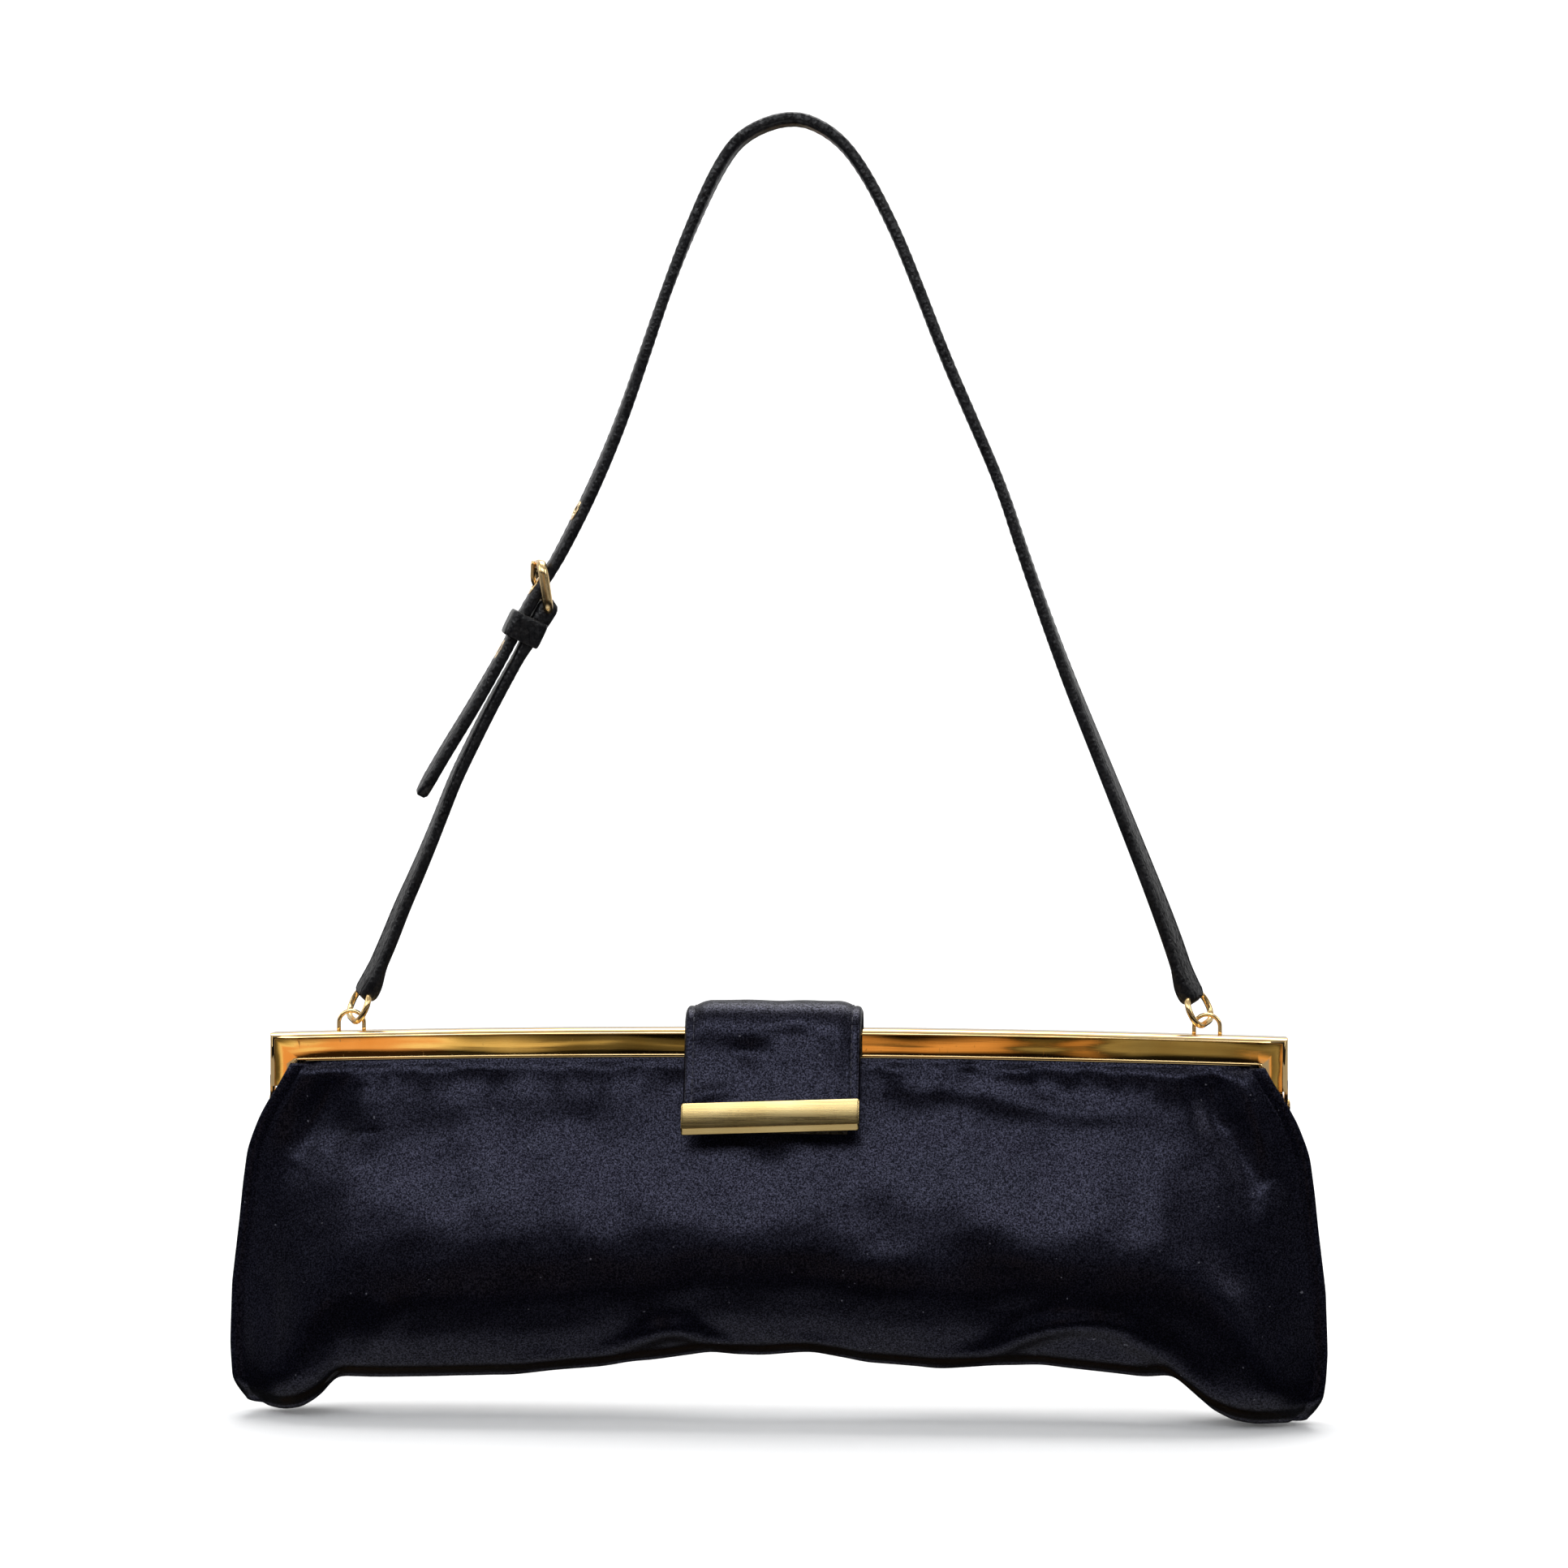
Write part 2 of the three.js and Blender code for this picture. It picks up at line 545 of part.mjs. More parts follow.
// The prong: an eye on the heel bar, up under the strap, out through its hole and on to the front bar.
function prong() {
  const { centre, normal } = throughStrap(PRONG_HOLE);
  const outward = normal.x < 0 ? normal : normal.clone().negate();
  const past = 2.7;
  const rest = BUCKLE.wire + PRONG.radius + 0.1;
  const path = [
    HEEL.clone().addScaledVector(BUCKLE_UP, 1.7),
    centre.clone().addScaledVector(outward, -past),
    centre.clone().addScaledVector(outward, past),
    FRONT_BAR.clone().addScaledVector(BUCKLE_OUT, rest),
    FRONT_BAR.clone().addScaledVector(BUCKLE_OUT, rest - 0.1).addScaledVector(BUCKLE_UP, 1.6),
  ];
  const curve = new THREE.CatmullRomCurve3(path, false, 'centripetal');
  const section = new THREE.Shape().absarc(0, 0, PRONG.radius, 0, 2 * Math.PI);
  const tube = new THREE.ExtrudeGeometry(section, { steps: 14, extrudePath: curve, curveSegments: 4 });
  const eye = rod(...acrossStrap(HEEL, PRONG.eyeHalf), PRONG.eye, 28);
  return cut(join(solid(tube), eye), heelHole);
}

const eyeSlot = () => rod(...acrossStrap(HEEL, PRONG.eyeHalf + SEAM), 3.4, 28);

// ---------- keeper ----------
function keeperMesh() {
  const at = alongNear(KEEPER_X);
  const { centre, normal } = throughStrap(at);
  const inward = normal.x > 0 ? normal : normal.clone().negate();
  const half = new THREE.Vector2(
    (KEEPER.apart + STRAP_THICKNESS) / 2 + KEEPER.spareThick,
    STRAP_WIDTH / 2 + KEEPER.spareWide,
  );
  const outer = roundedRectangle(half.x + KEEPER.wall, half.y + KEEPER.wall, 1.2);
  outer.holes.push(roundedRectangle(half.x, half.y, 0.4));
  const geometry = new THREE.ExtrudeGeometry(outer, {
    depth: KEEPER.length,
    bevelEnabled: false,
    curveSegments: 2,
  });
  geometry.translate(0, 0, -KEEPER.length / 2);
  const mesh = piece('strap_keeper', geometryOf(solid(geometry)), LEATHER.clone());
  const along = LONG_STRAP.getTangentAt(at);
  mesh.position.copy(centre).addScaledVector(inward, KEEPER.apart / 2);
  const basis = new THREE.Matrix4().makeBasis(inward, along.clone().cross(inward), along);
  mesh.quaternion.setFromRotationMatrix(basis);
  return mesh;
}

function roundedRectangle(halfX, halfY, radius) {
  const shape = new THREE.Shape();
  shape.absarc(halfX - radius, halfY - radius, radius, 0, 90 * RAD);
  shape.absarc(radius - halfX, halfY - radius, radius, 90 * RAD, 180 * RAD);
  shape.absarc(radius - halfX, radius - halfY, radius, 180 * RAD, 270 * RAD);
  shape.absarc(halfX - radius, radius - halfY, radius, 270 * RAD, 360 * RAD);
  shape.closePath();
  return shape;
}

// ---------- assembly ----------
function mirrorBack(manifold) {
  const geometry = geometryOf(manifold).scale(1, -1, 1);
  const index = geometry.index.array;
  for (let corner = 0; corner < index.length; corner += 3) {
    [index[corner + 1], index[corner + 2]] = [index[corner + 2], index[corner + 1]];
  }
  return geometry;
}

function metalFrame() {
  const group = new THREE.Group();
  group.add(piece('front_frame', frameHalf(HALF_WIDTH), GOLD.clone()));
  group.add(piece('rear_frame', mirrorBack(frameHalf(HALF_WIDTH - REAR_EAR_INSET)), GOLD.clone()));
  group.add(piece('left_hinge_pin', hingeRivet(-1), GOLD.clone()));
  group.add(piece('right_hinge_pin', hingeRivet(1), GOLD.clone()));
  group.add(piece('front_frame_cord', frameCord(), COTTON.clone()));
  group.add(piece('rear_frame_cord', mirrorBack(frameCord()), COTTON.clone()));
  return group;
}

function clothBody() {
  const group = new THREE.Group();
  group.add(piece('front_panel', frontPanel(besideGussets, satinTongue), SATIN.clone()));
  group.add(piece('rear_panel', rearPanel(besideGussets, satinTongue), SATIN.clone()));
  group.add(piece('left_gusset', satinShell.intersect(sideStrip(-1, 0)), SATIN.clone()));
  group.add(piece('right_gusset', satinShell.intersect(sideStrip(1, 0)), SATIN.clone()));
  group.add(piece('front_lining', frontPanel(liningShell, liningTongue), LINING.clone()));
  group.add(piece('rear_lining', rearPanel(liningShell, liningTongue), LINING.clone()));
  group.add(piece('lining_pocket', pocket(), LINING.clone()));
  return group;
}

function flapAndClasp() {
  const group = new THREE.Group();
  const studHole = (x) => rod(claspPoint(x, 4), claspPoint(x, -4), STUD.hole, 12);
  const holes = SIDES.map((side) => studHole(side * STUD.x));
  group.add(piece('flap_anchor', flapStrip(0, FLAP_SPLIT - FLAP_SLIT / 2), SATIN.clone()));
  group.add(piece('flap_tab', cut(flapStrip(FLAP_SPLIT + FLAP_SLIT / 2, 1), ...holes), SATIN.clone()));
  group.add(atClasp(piece('clasp_bar', claspBar(), BRUSHED_GOLD.clone()), CLASP_OUT.bar));
  const plate = new THREE.BoxGeometry(...BACK_PLATE);
  group.add(atClasp(piece('clasp_back_plate', plate, STEEL.clone()), CLASP_OUT.plate));
  group.add(atClasp(piece('flap_magnet', disc(1.2), STEEL.clone()), CLASP_OUT.magnet));
  const panelMagnet = piece('panel_magnet', disc(0.6), STEEL.clone());
  panelMagnet.position.set(0, PANEL_MAGNET.y, PANEL_MAGNET.z);
  panelMagnet.rotation.x = -PANEL_MAGNET.tilt * RAD;
  group.add(panelMagnet);
  return group;
}

function loopsAndRings() {
  const group = new THREE.Group();
  for (const [name, side] of [['left', -1], ['right', 1]]) {
    const loop = piece(`${name}_frame_loop`, geometryOf(wireLoop()), GOLD.clone());
    loop.position.copy(loopFoot(side)).setZ(topAt(LOOP_X - 4) - LOOP.wire + SEAM);
    group.add(loop);
    group.add(piece(`${name}_ring`, geometryOf(solid(ringGeometry(side, RING.wire))), GOLD.clone()));
  }
  return group;
}

function strapAndBuckle() {
  const group = new THREE.Group();
  const ringHole = (side) => solid(ringGeometry(side, RING.wire + CLEARANCE));
  const long = cut(
    join(strapAlong(LONG_STRAP, 56, TIP_LENGTH), foldRound(ringTop(1), RING.wire)),
    ringHole(1),
    ...HOLES.map((at) => strapHole(at, EYELET.barrel + CLEARANCE)),
  );
  const short = cut(
    join(strapAlong(SHORT_STRAP, 18), foldRound(ringTop(-1), RING.wire), foldRound(HEEL, BUCKLE.wire)),
    ringHole(-1),
    heelHole,
    eyeSlot(),
  );
  group.add(piece('strap_long', long, LEATHER.clone()));
  group.add(piece('strap_short', short, LEATHER.clone()));
  HOLES.forEach((at, index) => group.add(eyeletMesh(`strap_eyelet_${index + 1}`, at)));

  group.add(piece('buckle_frame', buckleGeometry(BUCKLE.wire), GOLD.clone()));
  group.add(piece('buckle_prong', prong(), GOLD.clone()));
  group.add(keeperMesh());
  return group;
}

const clutch = new THREE.Group();
clutch.add(metalFrame(), clothBody(), flapAndClasp(), loopsAndRings(), strapAndBuckle());

export default clutch;
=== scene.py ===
"""A black satin frame clutch on a leather shoulder strap. Lengths are in millimetres until a mesh is made."""

import math

import bmesh
import bpy
import numpy as np
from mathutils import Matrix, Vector


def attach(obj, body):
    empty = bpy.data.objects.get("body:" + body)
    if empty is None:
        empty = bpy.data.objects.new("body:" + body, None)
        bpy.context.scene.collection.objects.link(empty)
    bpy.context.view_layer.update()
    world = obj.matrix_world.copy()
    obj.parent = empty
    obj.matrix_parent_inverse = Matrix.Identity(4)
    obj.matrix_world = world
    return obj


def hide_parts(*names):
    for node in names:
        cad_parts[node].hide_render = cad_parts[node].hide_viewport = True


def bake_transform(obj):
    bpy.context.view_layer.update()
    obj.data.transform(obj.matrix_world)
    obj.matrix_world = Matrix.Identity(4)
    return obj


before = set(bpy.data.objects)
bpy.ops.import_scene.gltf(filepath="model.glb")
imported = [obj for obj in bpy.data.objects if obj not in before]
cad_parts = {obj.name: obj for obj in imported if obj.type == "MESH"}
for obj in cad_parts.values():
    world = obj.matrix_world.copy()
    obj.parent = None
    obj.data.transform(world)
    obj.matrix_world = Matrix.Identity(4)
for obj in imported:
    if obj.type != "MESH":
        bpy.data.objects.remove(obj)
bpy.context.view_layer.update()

MM = 0.001
FRAME_HALF = 135.0  # half the width of the metal frame
FRAME_TOP = 104.0  # top of the frame in the middle
FRAME_CROWN = 2.0  # how much lower it is at the ends
FACE_HEIGHT = 7.6  # front face of the frame
HINGE_Z = 84.0
LEG_BOTTOM = 88.0
STRAP_Y = 2.5
STRAP_WIDTH = 8.5
STRAP_THICKNESS = 3.0
STRAP_BASE = 102.0  # heights along the strap are from the ends of the frame's top
STRAP_STEP = 0.9  # spacing of the strap's cross-sections
LOOP_X = 114.2
FLAP_HALF = 23.4
CAMERA_DISTANCE = 0.95
CAMERA_AZIMUTH = math.radians(4)
IMAGE_WIDTH = 0.4164  # how much of the object's plane the picture spans
AIM = Vector((0.0024, 0, 0.1686))


# ---------- small geometry helpers ----------
def frame_top(x):
    return FRAME_TOP - FRAME_CROWN * (x / FRAME_HALF) ** 2


def smoothstep(low, high, value):
    t = np.clip((np.asarray(value, float) - low) / (high - low), 0, 1)
    return t * t * (3 - 2 * t)


def smooth_table(points, blur):
    """A smooth function of one number through a few points, softened over `blur`."""
    keys = np.array([p[0] for p in points], float)
    values = np.array([p[1] for p in points], float)
    dense = np.linspace(keys[0] - 3 * blur, keys[-1] + 3 * blur, 1600)
    step = dense[1] - dense[0]
    reach = max(1, int(3 * blur / step))
    kernel = np.exp(-0.5 * (np.arange(-reach, reach + 1) * step / blur) ** 2)
    kernel /= kernel.sum()
    raw = np.interp(dense, keys, values)
    soft = np.convolve(np.pad(raw, reach, mode="edge"), kernel, mode="valid")
    return lambda at: np.interp(at, dense, soft)


def run_length(points):
    """The distance along a line at each of its points."""
    return np.concatenate([[0], np.cumsum(np.linalg.norm(np.diff(points, axis=0), axis=1))])


def resample(points, count):
    """Evenly spaced points along a softened line through the given points."""
    points = np.array(points, float)
    for _ in range(4):
        middle = (points[:-1] + points[1:]) / 2
        cut = np.empty((2 * len(middle), points.shape[1]))
        cut[0::2] = points[:-1] * 0.75 + points[1:] * 0.25
        cut[1::2] = points[:-1] * 0.25 + points[1:] * 0.75
        points = np.vstack([points[:1], cut[1:-1], points[-1:]])
    length = run_length(points)
    at = np.linspace(0, length[-1], count)
    return np.column_stack([np.interp(at, length, points[:, k]) for k in range(points.shape[1])])


def unit(vectors):
    vectors = np.asarray(vectors, float)
    return vectors / np.maximum(np.linalg.norm(vectors, axis=-1, keepdims=True), 1e-9)


def tangents(path, closed=False):
    if closed:
        return unit(np.roll(path, -1, axis=0) - np.roll(path, 1, axis=0))
    return unit(np.gradient(path, axis=0))


def noise(x, z, seed, scale):
    """Soft wandering noise made from a few fixed waves."""
    rng = np.random.default_rng(seed)
    total = np.zeros(np.broadcast(x, z).shape)
    for _ in range(7):
        angle = rng.uniform(0, 2 * math.pi)
        length = scale * rng.uniform(0.6, 1.9)
        phase = rng.uniform(0, 2 * math.pi)
        total += np.sin((x * math.cos(angle) + z * math.sin(angle)) * 2 * math.pi / length + phase)
    return total / 3.5


# ---------- mesh helpers ----------
def add_object(name, data, *materials):
    """Puts a mesh, a light or a camera into the scene."""
    for material in materials:
        data.materials.append(material)
    obj = bpy.data.objects.new(name, data)
    bpy.context.scene.collection.objects.link(obj)
    return obj


def mesh_object(name, points, faces, material):
    mesh = bpy.data.meshes.new(name)
    mesh.from_pydata((np.asarray(points, float) * MM).tolist(), [], faces)
    mesh.validate()
    builder = bmesh.new()
    builder.from_mesh(mesh)
    bmesh.ops.remove_doubles(builder, verts=builder.verts, dist=1e-7)
    bmesh.ops.recalc_face_normals(builder, faces=builder.faces)
    builder.to_mesh(mesh)
    builder.free()
    mesh.polygons.foreach_set("use_smooth", [True] * len(mesh.polygons))
    return add_object(name, mesh, material)


def grid_faces(rows, columns, closed_rows=False, closed_columns=False):
    faces = []
    for row in range(rows if closed_rows else rows - 1):
        below = (row + 1) % rows
        for column in range(columns if closed_columns else columns - 1):
            right = (column + 1) % columns
            here, under = row * columns, below * columns
            faces.append((here + column, here + right, under + right, under + column))
    return faces


def tube_faces(rows, columns, closed_path):
    faces = grid_faces(rows, columns, closed_rows=closed_path, closed_columns=True)
    if not closed_path:
        faces.append(tuple(range(columns)))
        faces.append(tuple((rows - 1) * columns + k for k in range(columns)))
    return faces


def sharp_edges(obj, degrees=35):
    obj.data.set_sharp_from_angle(angle=math.radians(degrees))
    return obj


def bake(obj):
    """Applies the modifiers, so that the shown mesh is the one that moves."""
    depsgraph = bpy.context.evaluated_depsgraph_get()
    mesh = bpy.data.meshes.new_from_object(obj.evaluated_get(depsgraph))
    obj.modifiers.clear()
    obj.data = mesh
    return obj


def thicken(obj, thickness):
    solid = obj.modifiers.new("thickness", "SOLIDIFY")
    solid.thickness = thickness * MM
    solid.offset = -1
    solid.use_quality_normals = True
    return bake(obj)


def join_objects(name, objects):
    """One object from several, keeping each one's material."""
    builder = bmesh.new()
    materials = []
    for obj in objects:
        start = len(builder.faces)
        builder.from_mesh(obj.data)
        builder.faces.ensure_lookup_table()
        material = obj.data.materials[0]
        if material not in materials:
            materials.append(material)
        for face in builder.faces[start:]:
            face.material_index = materials.index(material)
        bpy.data.objects.remove(obj)
    mesh = bpy.data.meshes.new(name)
    builder.to_mesh(mesh)
    builder.free()
    return add_object(name, mesh, *materials)


def place(obj, body, slot, *nodes):
    """Ties a piece to a body, in place of the named CAD nodes; `slot` is not used."""
    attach(obj, body)
    if nodes:
        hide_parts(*nodes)
    return obj


def section_sweep(path, side, section, closed_path=False):
    """Points of a section swept along a path. `side` points along the section's first axis."""
    along = tangents(path, closed_path)
    side = unit(side - along * np.sum(side * along, axis=1, keepdims=True))
    up = np.cross(along, side)
    section = np.asarray(section, float)
    if section.ndim == 2:
        section = np.repeat(section[None], len(path), axis=0)
    return path[:, None] + side[:, None] * section[..., 0:1] + up[:, None] * section[..., 1:2]


def circle(radius, count=16):
    angle = np.linspace(0, 2 * math.pi, count, endpoint=False)
    return np.column_stack([np.cos(angle), np.sin(angle)]) * radius


def rounded_box(half_x, half_y, radius, steps=4):
    points = []
    for turn, (sx, sy) in enumerate([(1, 1), (-1, 1), (-1, -1), (1, -1)]):
        for step in range(steps + 1):
            angle = (turn + step / steps) * math.pi / 2
            x = sx * (half_x - radius) + radius * math.cos(angle)
            y = sy * (half_y - radius) + radius * math.sin(angle)
            points.append((x, y))
    return np.array(points)


def wire(name, path, radius, material, closed=False, side=(0, 1, 0), count=16, warp=None):
    """Round wire along a path; `radius` may vary along it, and `warp` moves the finished points."""
    path = np.asarray(path, float)
    radii = np.broadcast_to(np.asarray(radius, float), (len(path),))
    section = circle(1, count)[None] * radii[:, None, None]
    points = section_sweep(path, np.tile(np.array(side, float), (len(path), 1)), section, closed)
    points = points.reshape(-1, 3)
    if warp:
        points = warp(points)
    return mesh_object(name, points, tube_faces(len(path), count, closed), material)


# ---------- materials ----------
class Nodes:
    """A short way to build a node tree."""

    def __init__(self, tree):
        self.tree = tree

    def add(self, kind, inputs=None, **settings):
        node = self.tree.nodes.new(kind)
        for key, value in settings.items():
            setattr(node, key, value)
        for key, value in (inputs or {}).items():
            if isinstance(value, bpy.types.NodeSocket):
                self.tree.links.new(value, node.inputs[key])
            else:
                node.inputs[key].default_value = value
        return node

    def noise(self, vector, scale, detail=4.0, roughness=0.5, distortion=0.0):
        names = ("Vector", "Scale", "Detail", "Roughness", "Distortion")
        values = (vector, scale, detail, roughness, distortion)
        return self.add("ShaderNodeTexNoise", dict(zip(names, values))).outputs["Fac"]

    def stretch(self, vector, scale):
        inputs = {"Vector": vector, "Scale": scale}
        return self.add("ShaderNodeMapping", inputs).outputs["Vector"]

    def ramp(self, factor, stops):
        node = self.add("ShaderNodeValToRGB", {"Fac": factor})
        ramp = node.color_ramp
        while len(ramp.elements) < len(stops):
            ramp.elements.new(0.5)
        for element, (position, color) in zip(ramp.elements, stops):
            element.position = position
            element.color = (*color, 1) if len(color) == 3 else color
        return node.outputs["Color"]

    def math(self, operation, first, second=0.0):
        node = self.add("ShaderNodeMath", {0: first, 1: second}, operation=operation)
        return node.outputs["Value"]

    def range(self, value, low, high, to_low, to_high):
        names = ("Value", "From Min", "From Max", "To Min", "To Max")
        values = (value, low, high, to_low, to_high)
        return self.add("ShaderNodeMapRange", dict(zip(names, values))).outputs["Result"]

    def mix(self, share, first, second):
        node = self.add("ShaderNodeMix", {0: share, 6: first, 7: second}, data_type="RGBA")
        return node.outputs[2]

    def connect(self, **sockets):
        """Sets inputs of the material's shader; an underscore stands for a space in a name."""
        shader = self.tree.nodes["Principled BSDF"]
        for key, value in sockets.items():
            socket = shader.inputs[key.replace("_", " ")]
            if isinstance(value, bpy.types.NodeSocket):
                self.tree.links.new(value, socket)
            else:
                socket.default_value = value

    def bump(self, height, strength, distance, normal=None):
        inputs = {"Height": height, "Strength": strength, "Distance": distance}
        if normal:
            inputs["Normal"] = normal
        return self.add("ShaderNodeBump", inputs).outputs["Normal"]


def new_material(name):
    material = bpy.data.materials.new(name)
    material.use_nodes = True
    nodes = Nodes(material.node_tree)
    vector = nodes.add("ShaderNodeTexCoord").outputs["Object"]
    return material, nodes, vector


def satin_material():
    """Heavy black satin with a blue cast: a fine speckled sheen, soft mottling and a little lint."""
    material, nodes, vector = new_material("satin")
    weave = nodes.noise(nodes.stretch(vector, (2600, 2600, 900)), 1.0, 2.0)
    grain = nodes.noise(vector, 2300, 2.0, 0.7)
    mottle = nodes.noise(vector, 40, 4.0, 0.6)
    lint = nodes.noise(vector, 760, 1.0, 0.4)
    tone = nodes.math("ADD", nodes.math("MULTIPLY", grain, 0.7), nodes.math("MULTIPLY", mottle, 0.3))
    cloth = nodes.ramp(
        tone,
        [
            (0.36, (0.0004, 0.0004, 0.0011)),
            (0.52, (0.0009, 0.0009, 0.0026)),
            (0.66, (0.0022, 0.0022, 0.0056)),
        ],
    )
    speck = nodes.range(lint, 0.79, 0.81, 0.0, 0.3)
    flecked = nodes.mix(speck, cloth, (0.2, 0.2, 0.23, 1))
    height = nodes.math("ADD", weave, nodes.math("MULTIPLY", grain, 0.8))
    nodes.connect(
        Base_Color=flecked,
        Roughness=nodes.range(mottle, 0.3, 0.7, 0.3, 0.36),
        Specular_IOR_Level=nodes.range(grain, 0.42, 0.7, 0.07, 0.72),
        Specular_Tint=(0.68, 0.68, 1.0, 1),
        Normal=nodes.bump(height, 0.18, 0.0001),
    )
    return material


def lining_material():
    material, nodes, vector = new_material("lining")
    across = nodes.add("ShaderNodeTexWave", {"Vector": vector, "Scale": 900}, bands_direction="X")
    down = nodes.add("ShaderNodeTexWave", {"Vector": vector, "Scale": 900}, bands_direction="Z")
    weave = nodes.math("MULTIPLY", across.outputs["Fac"], down.outputs["Fac"])
    tone = nodes.noise(vector, 60, 4.0)
    color = nodes.ramp(tone, [(0.3, (0.006, 0.006, 0.008)), (0.7, (0.014, 0.014, 0.018))])
    nodes.connect(Base_Color=color, Roughness=0.62, Normal=nodes.bump(weave, 0.3, 0.0001))
    return material


def leather_material():
    """Black calf with a pebbled grain, fine creases and slightly worn high spots."""
    material, nodes, vector = new_material("leather")
    cells = nodes.add("ShaderNodeTexVoronoi", {"Vector": vector, "Scale": 950.0}).outputs["Distance"]
    pores = nodes.noise(vector, 1300, 4.0, 0.6)
    creases = nodes.noise(nodes.stretch(vector, (850, 850, 380)), 1.0, 3.0, 0.6, 0.8)
    mottle = nodes.noise(vector, 120, 4.0)
    height = nodes.math("ADD", nodes.math("MULTIPLY", cells, 0.8), nodes.math("MULTIPLY", pores, 0.5))
    height = nodes.math("ADD", height, creases)
    color = nodes.ramp(mottle, [(0.3, (0.0016, 0.0016, 0.0022)), (0.72, (0.0058, 0.0058, 0.007))])
    nodes.connect(
        Base_Color=color,
        Roughness=nodes.range(pores, 0.3, 0.7, 0.26, 0.4),
        Specular_IOR_Level=nodes.range(creases, 0.35, 0.65, 0.12, 0.5),
        Normal=nodes.bump(height, 0.5, 0.0004),
    )
    return material


def polished_gold_material(name, polish, relief):
    """Plated metal with hairline scratches and faint wear; `polish` is its roughness where unworn."""
    material, nodes, vector = new_material(name)
    tarnish = nodes.noise(vector, 45, 4.0, 0.6)
    hairlines = nodes.noise(nodes.stretch(vector, (60, 900, 2200)), 1.0, 3.0, 0.7, 0.6)
    scratches = nodes.noise(nodes.stretch(vector, (900, 300, 240)), 1.0, 2.0, 0.6, 1.4)
    color = nodes.ramp(tarnish, [(0.3, (0.82, 0.54, 0.22)), (0.7, (0.92, 0.69, 0.36))])
    lines = nodes.range(hairlines, 0.55, 0.75, 0.0, 1.0)
    nicks = nodes.range(scratches, 0.68, 0.74, 0.0, 1.0)
    rough = nodes.math("ADD", nodes.math("MULTIPLY", lines, 0.08), polish)
    rough = nodes.math("ADD", rough, nodes.math("MULTIPLY", nicks, 0.16))
    waves = nodes.noise(nodes.stretch(vector, (1.0, 1.0, 2.5)), 22, 1.0)
    broad = nodes.bump(waves, 0.5, 0.0016)
    nodes.connect(
        Base_Color=color,
        Metallic=1.0,
        Roughness=rough,
        Normal=nodes.bump(hairlines, relief, 0.00005, broad),
    )
    return material


def brushed_gold_material():
    material, nodes, vector = new_material("brushed_gold")
    lines = nodes.noise(nodes.stretch(vector, (45, 3200, 3200)), 1.0, 5.0, 0.65)
    tone = nodes.noise(vector, 60, 3.0)
    color = nodes.ramp(tone, [(0.3, (0.56, 0.40, 0.16)), (0.7, (0.68, 0.52, 0.24))])
    nodes.connect(
        Base_Color=color,
        Metallic=1.0,
        Roughness=nodes.range(lines, 0.3, 0.7, 0.2, 0.36),
        Anisotropic=0.7,
        Normal=nodes.bump(lines, 0.16, 0.00006),
    )
    return material


def steel_material():
    material, nodes, vector = new_material("steel")
    lines = nodes.noise(nodes.stretch(vector, (1800, 1800, 200)), 1.0, 4.0)
    color = nodes.ramp(lines, [(0.3, (0.42, 0.42, 0.41)), (0.7, (0.62, 0.62, 0.6))])
    nodes.connect(
        Base_Color=color,
        Metallic=1.0,
        Roughness=nodes.range(lines, 0.3, 0.7, 0.26, 0.42),
        Normal=nodes.bump(lines, 0.12, 0.00005),
    )
    return material


def twisted_material(name, scale, dark, light, roughness, relief):
    """Twisted fibres, coloured dark in the grooves of the twist as painted shade and light on its crests;
    `relief` is the strength and the depth of the twist.
    """
    material, nodes, vector = new_material(name)
    twist = nodes.add("ShaderNodeTexWave", {"Vector": vector, "Scale": scale}, bands_direction="DIAGONAL")
    # painted shade: the same wave that shapes the twist darkens its grooves
    color = nodes.ramp(twist.outputs["Fac"], [(0.2, dark), (0.8, light)])
    height = nodes.bump(twist.outputs["Fac"], *relief)
    nodes.connect(Base_Color=color, Roughness=roughness, Normal=height)
    return material


def thread_material(name, base):
    # a half-bright copy of the thread's colour, painted as shade in the twist's grooves
    dark = tuple(0.5 * value for value in base)
    return twisted_material(name, 2600, dark, base, 0.5, (0.4, 0.00005))


SATIN = satin_material()
LINING = lining_material()
LEATHER = leather_material()
GOLD = polished_gold_material("polished_gold", 0.04, 0.05)
WIRE_GOLD = polished_gold_material("polished_gold_wire", 0.22, 0.012)
BRUSHED = brushed_gold_material()
STEEL = steel_material()
CORD = twisted_material("cord", 500, (0.2, 0.13, 0.06), (0.52, 0.4, 0.24), 0.85, (0.6, 0.0002))
SATIN_THREAD = thread_material("satin_thread", (0.02, 0.02, 0.036))
LEATHER_THREAD = thread_material("leather_thread", (0.012, 0.012, 0.014))


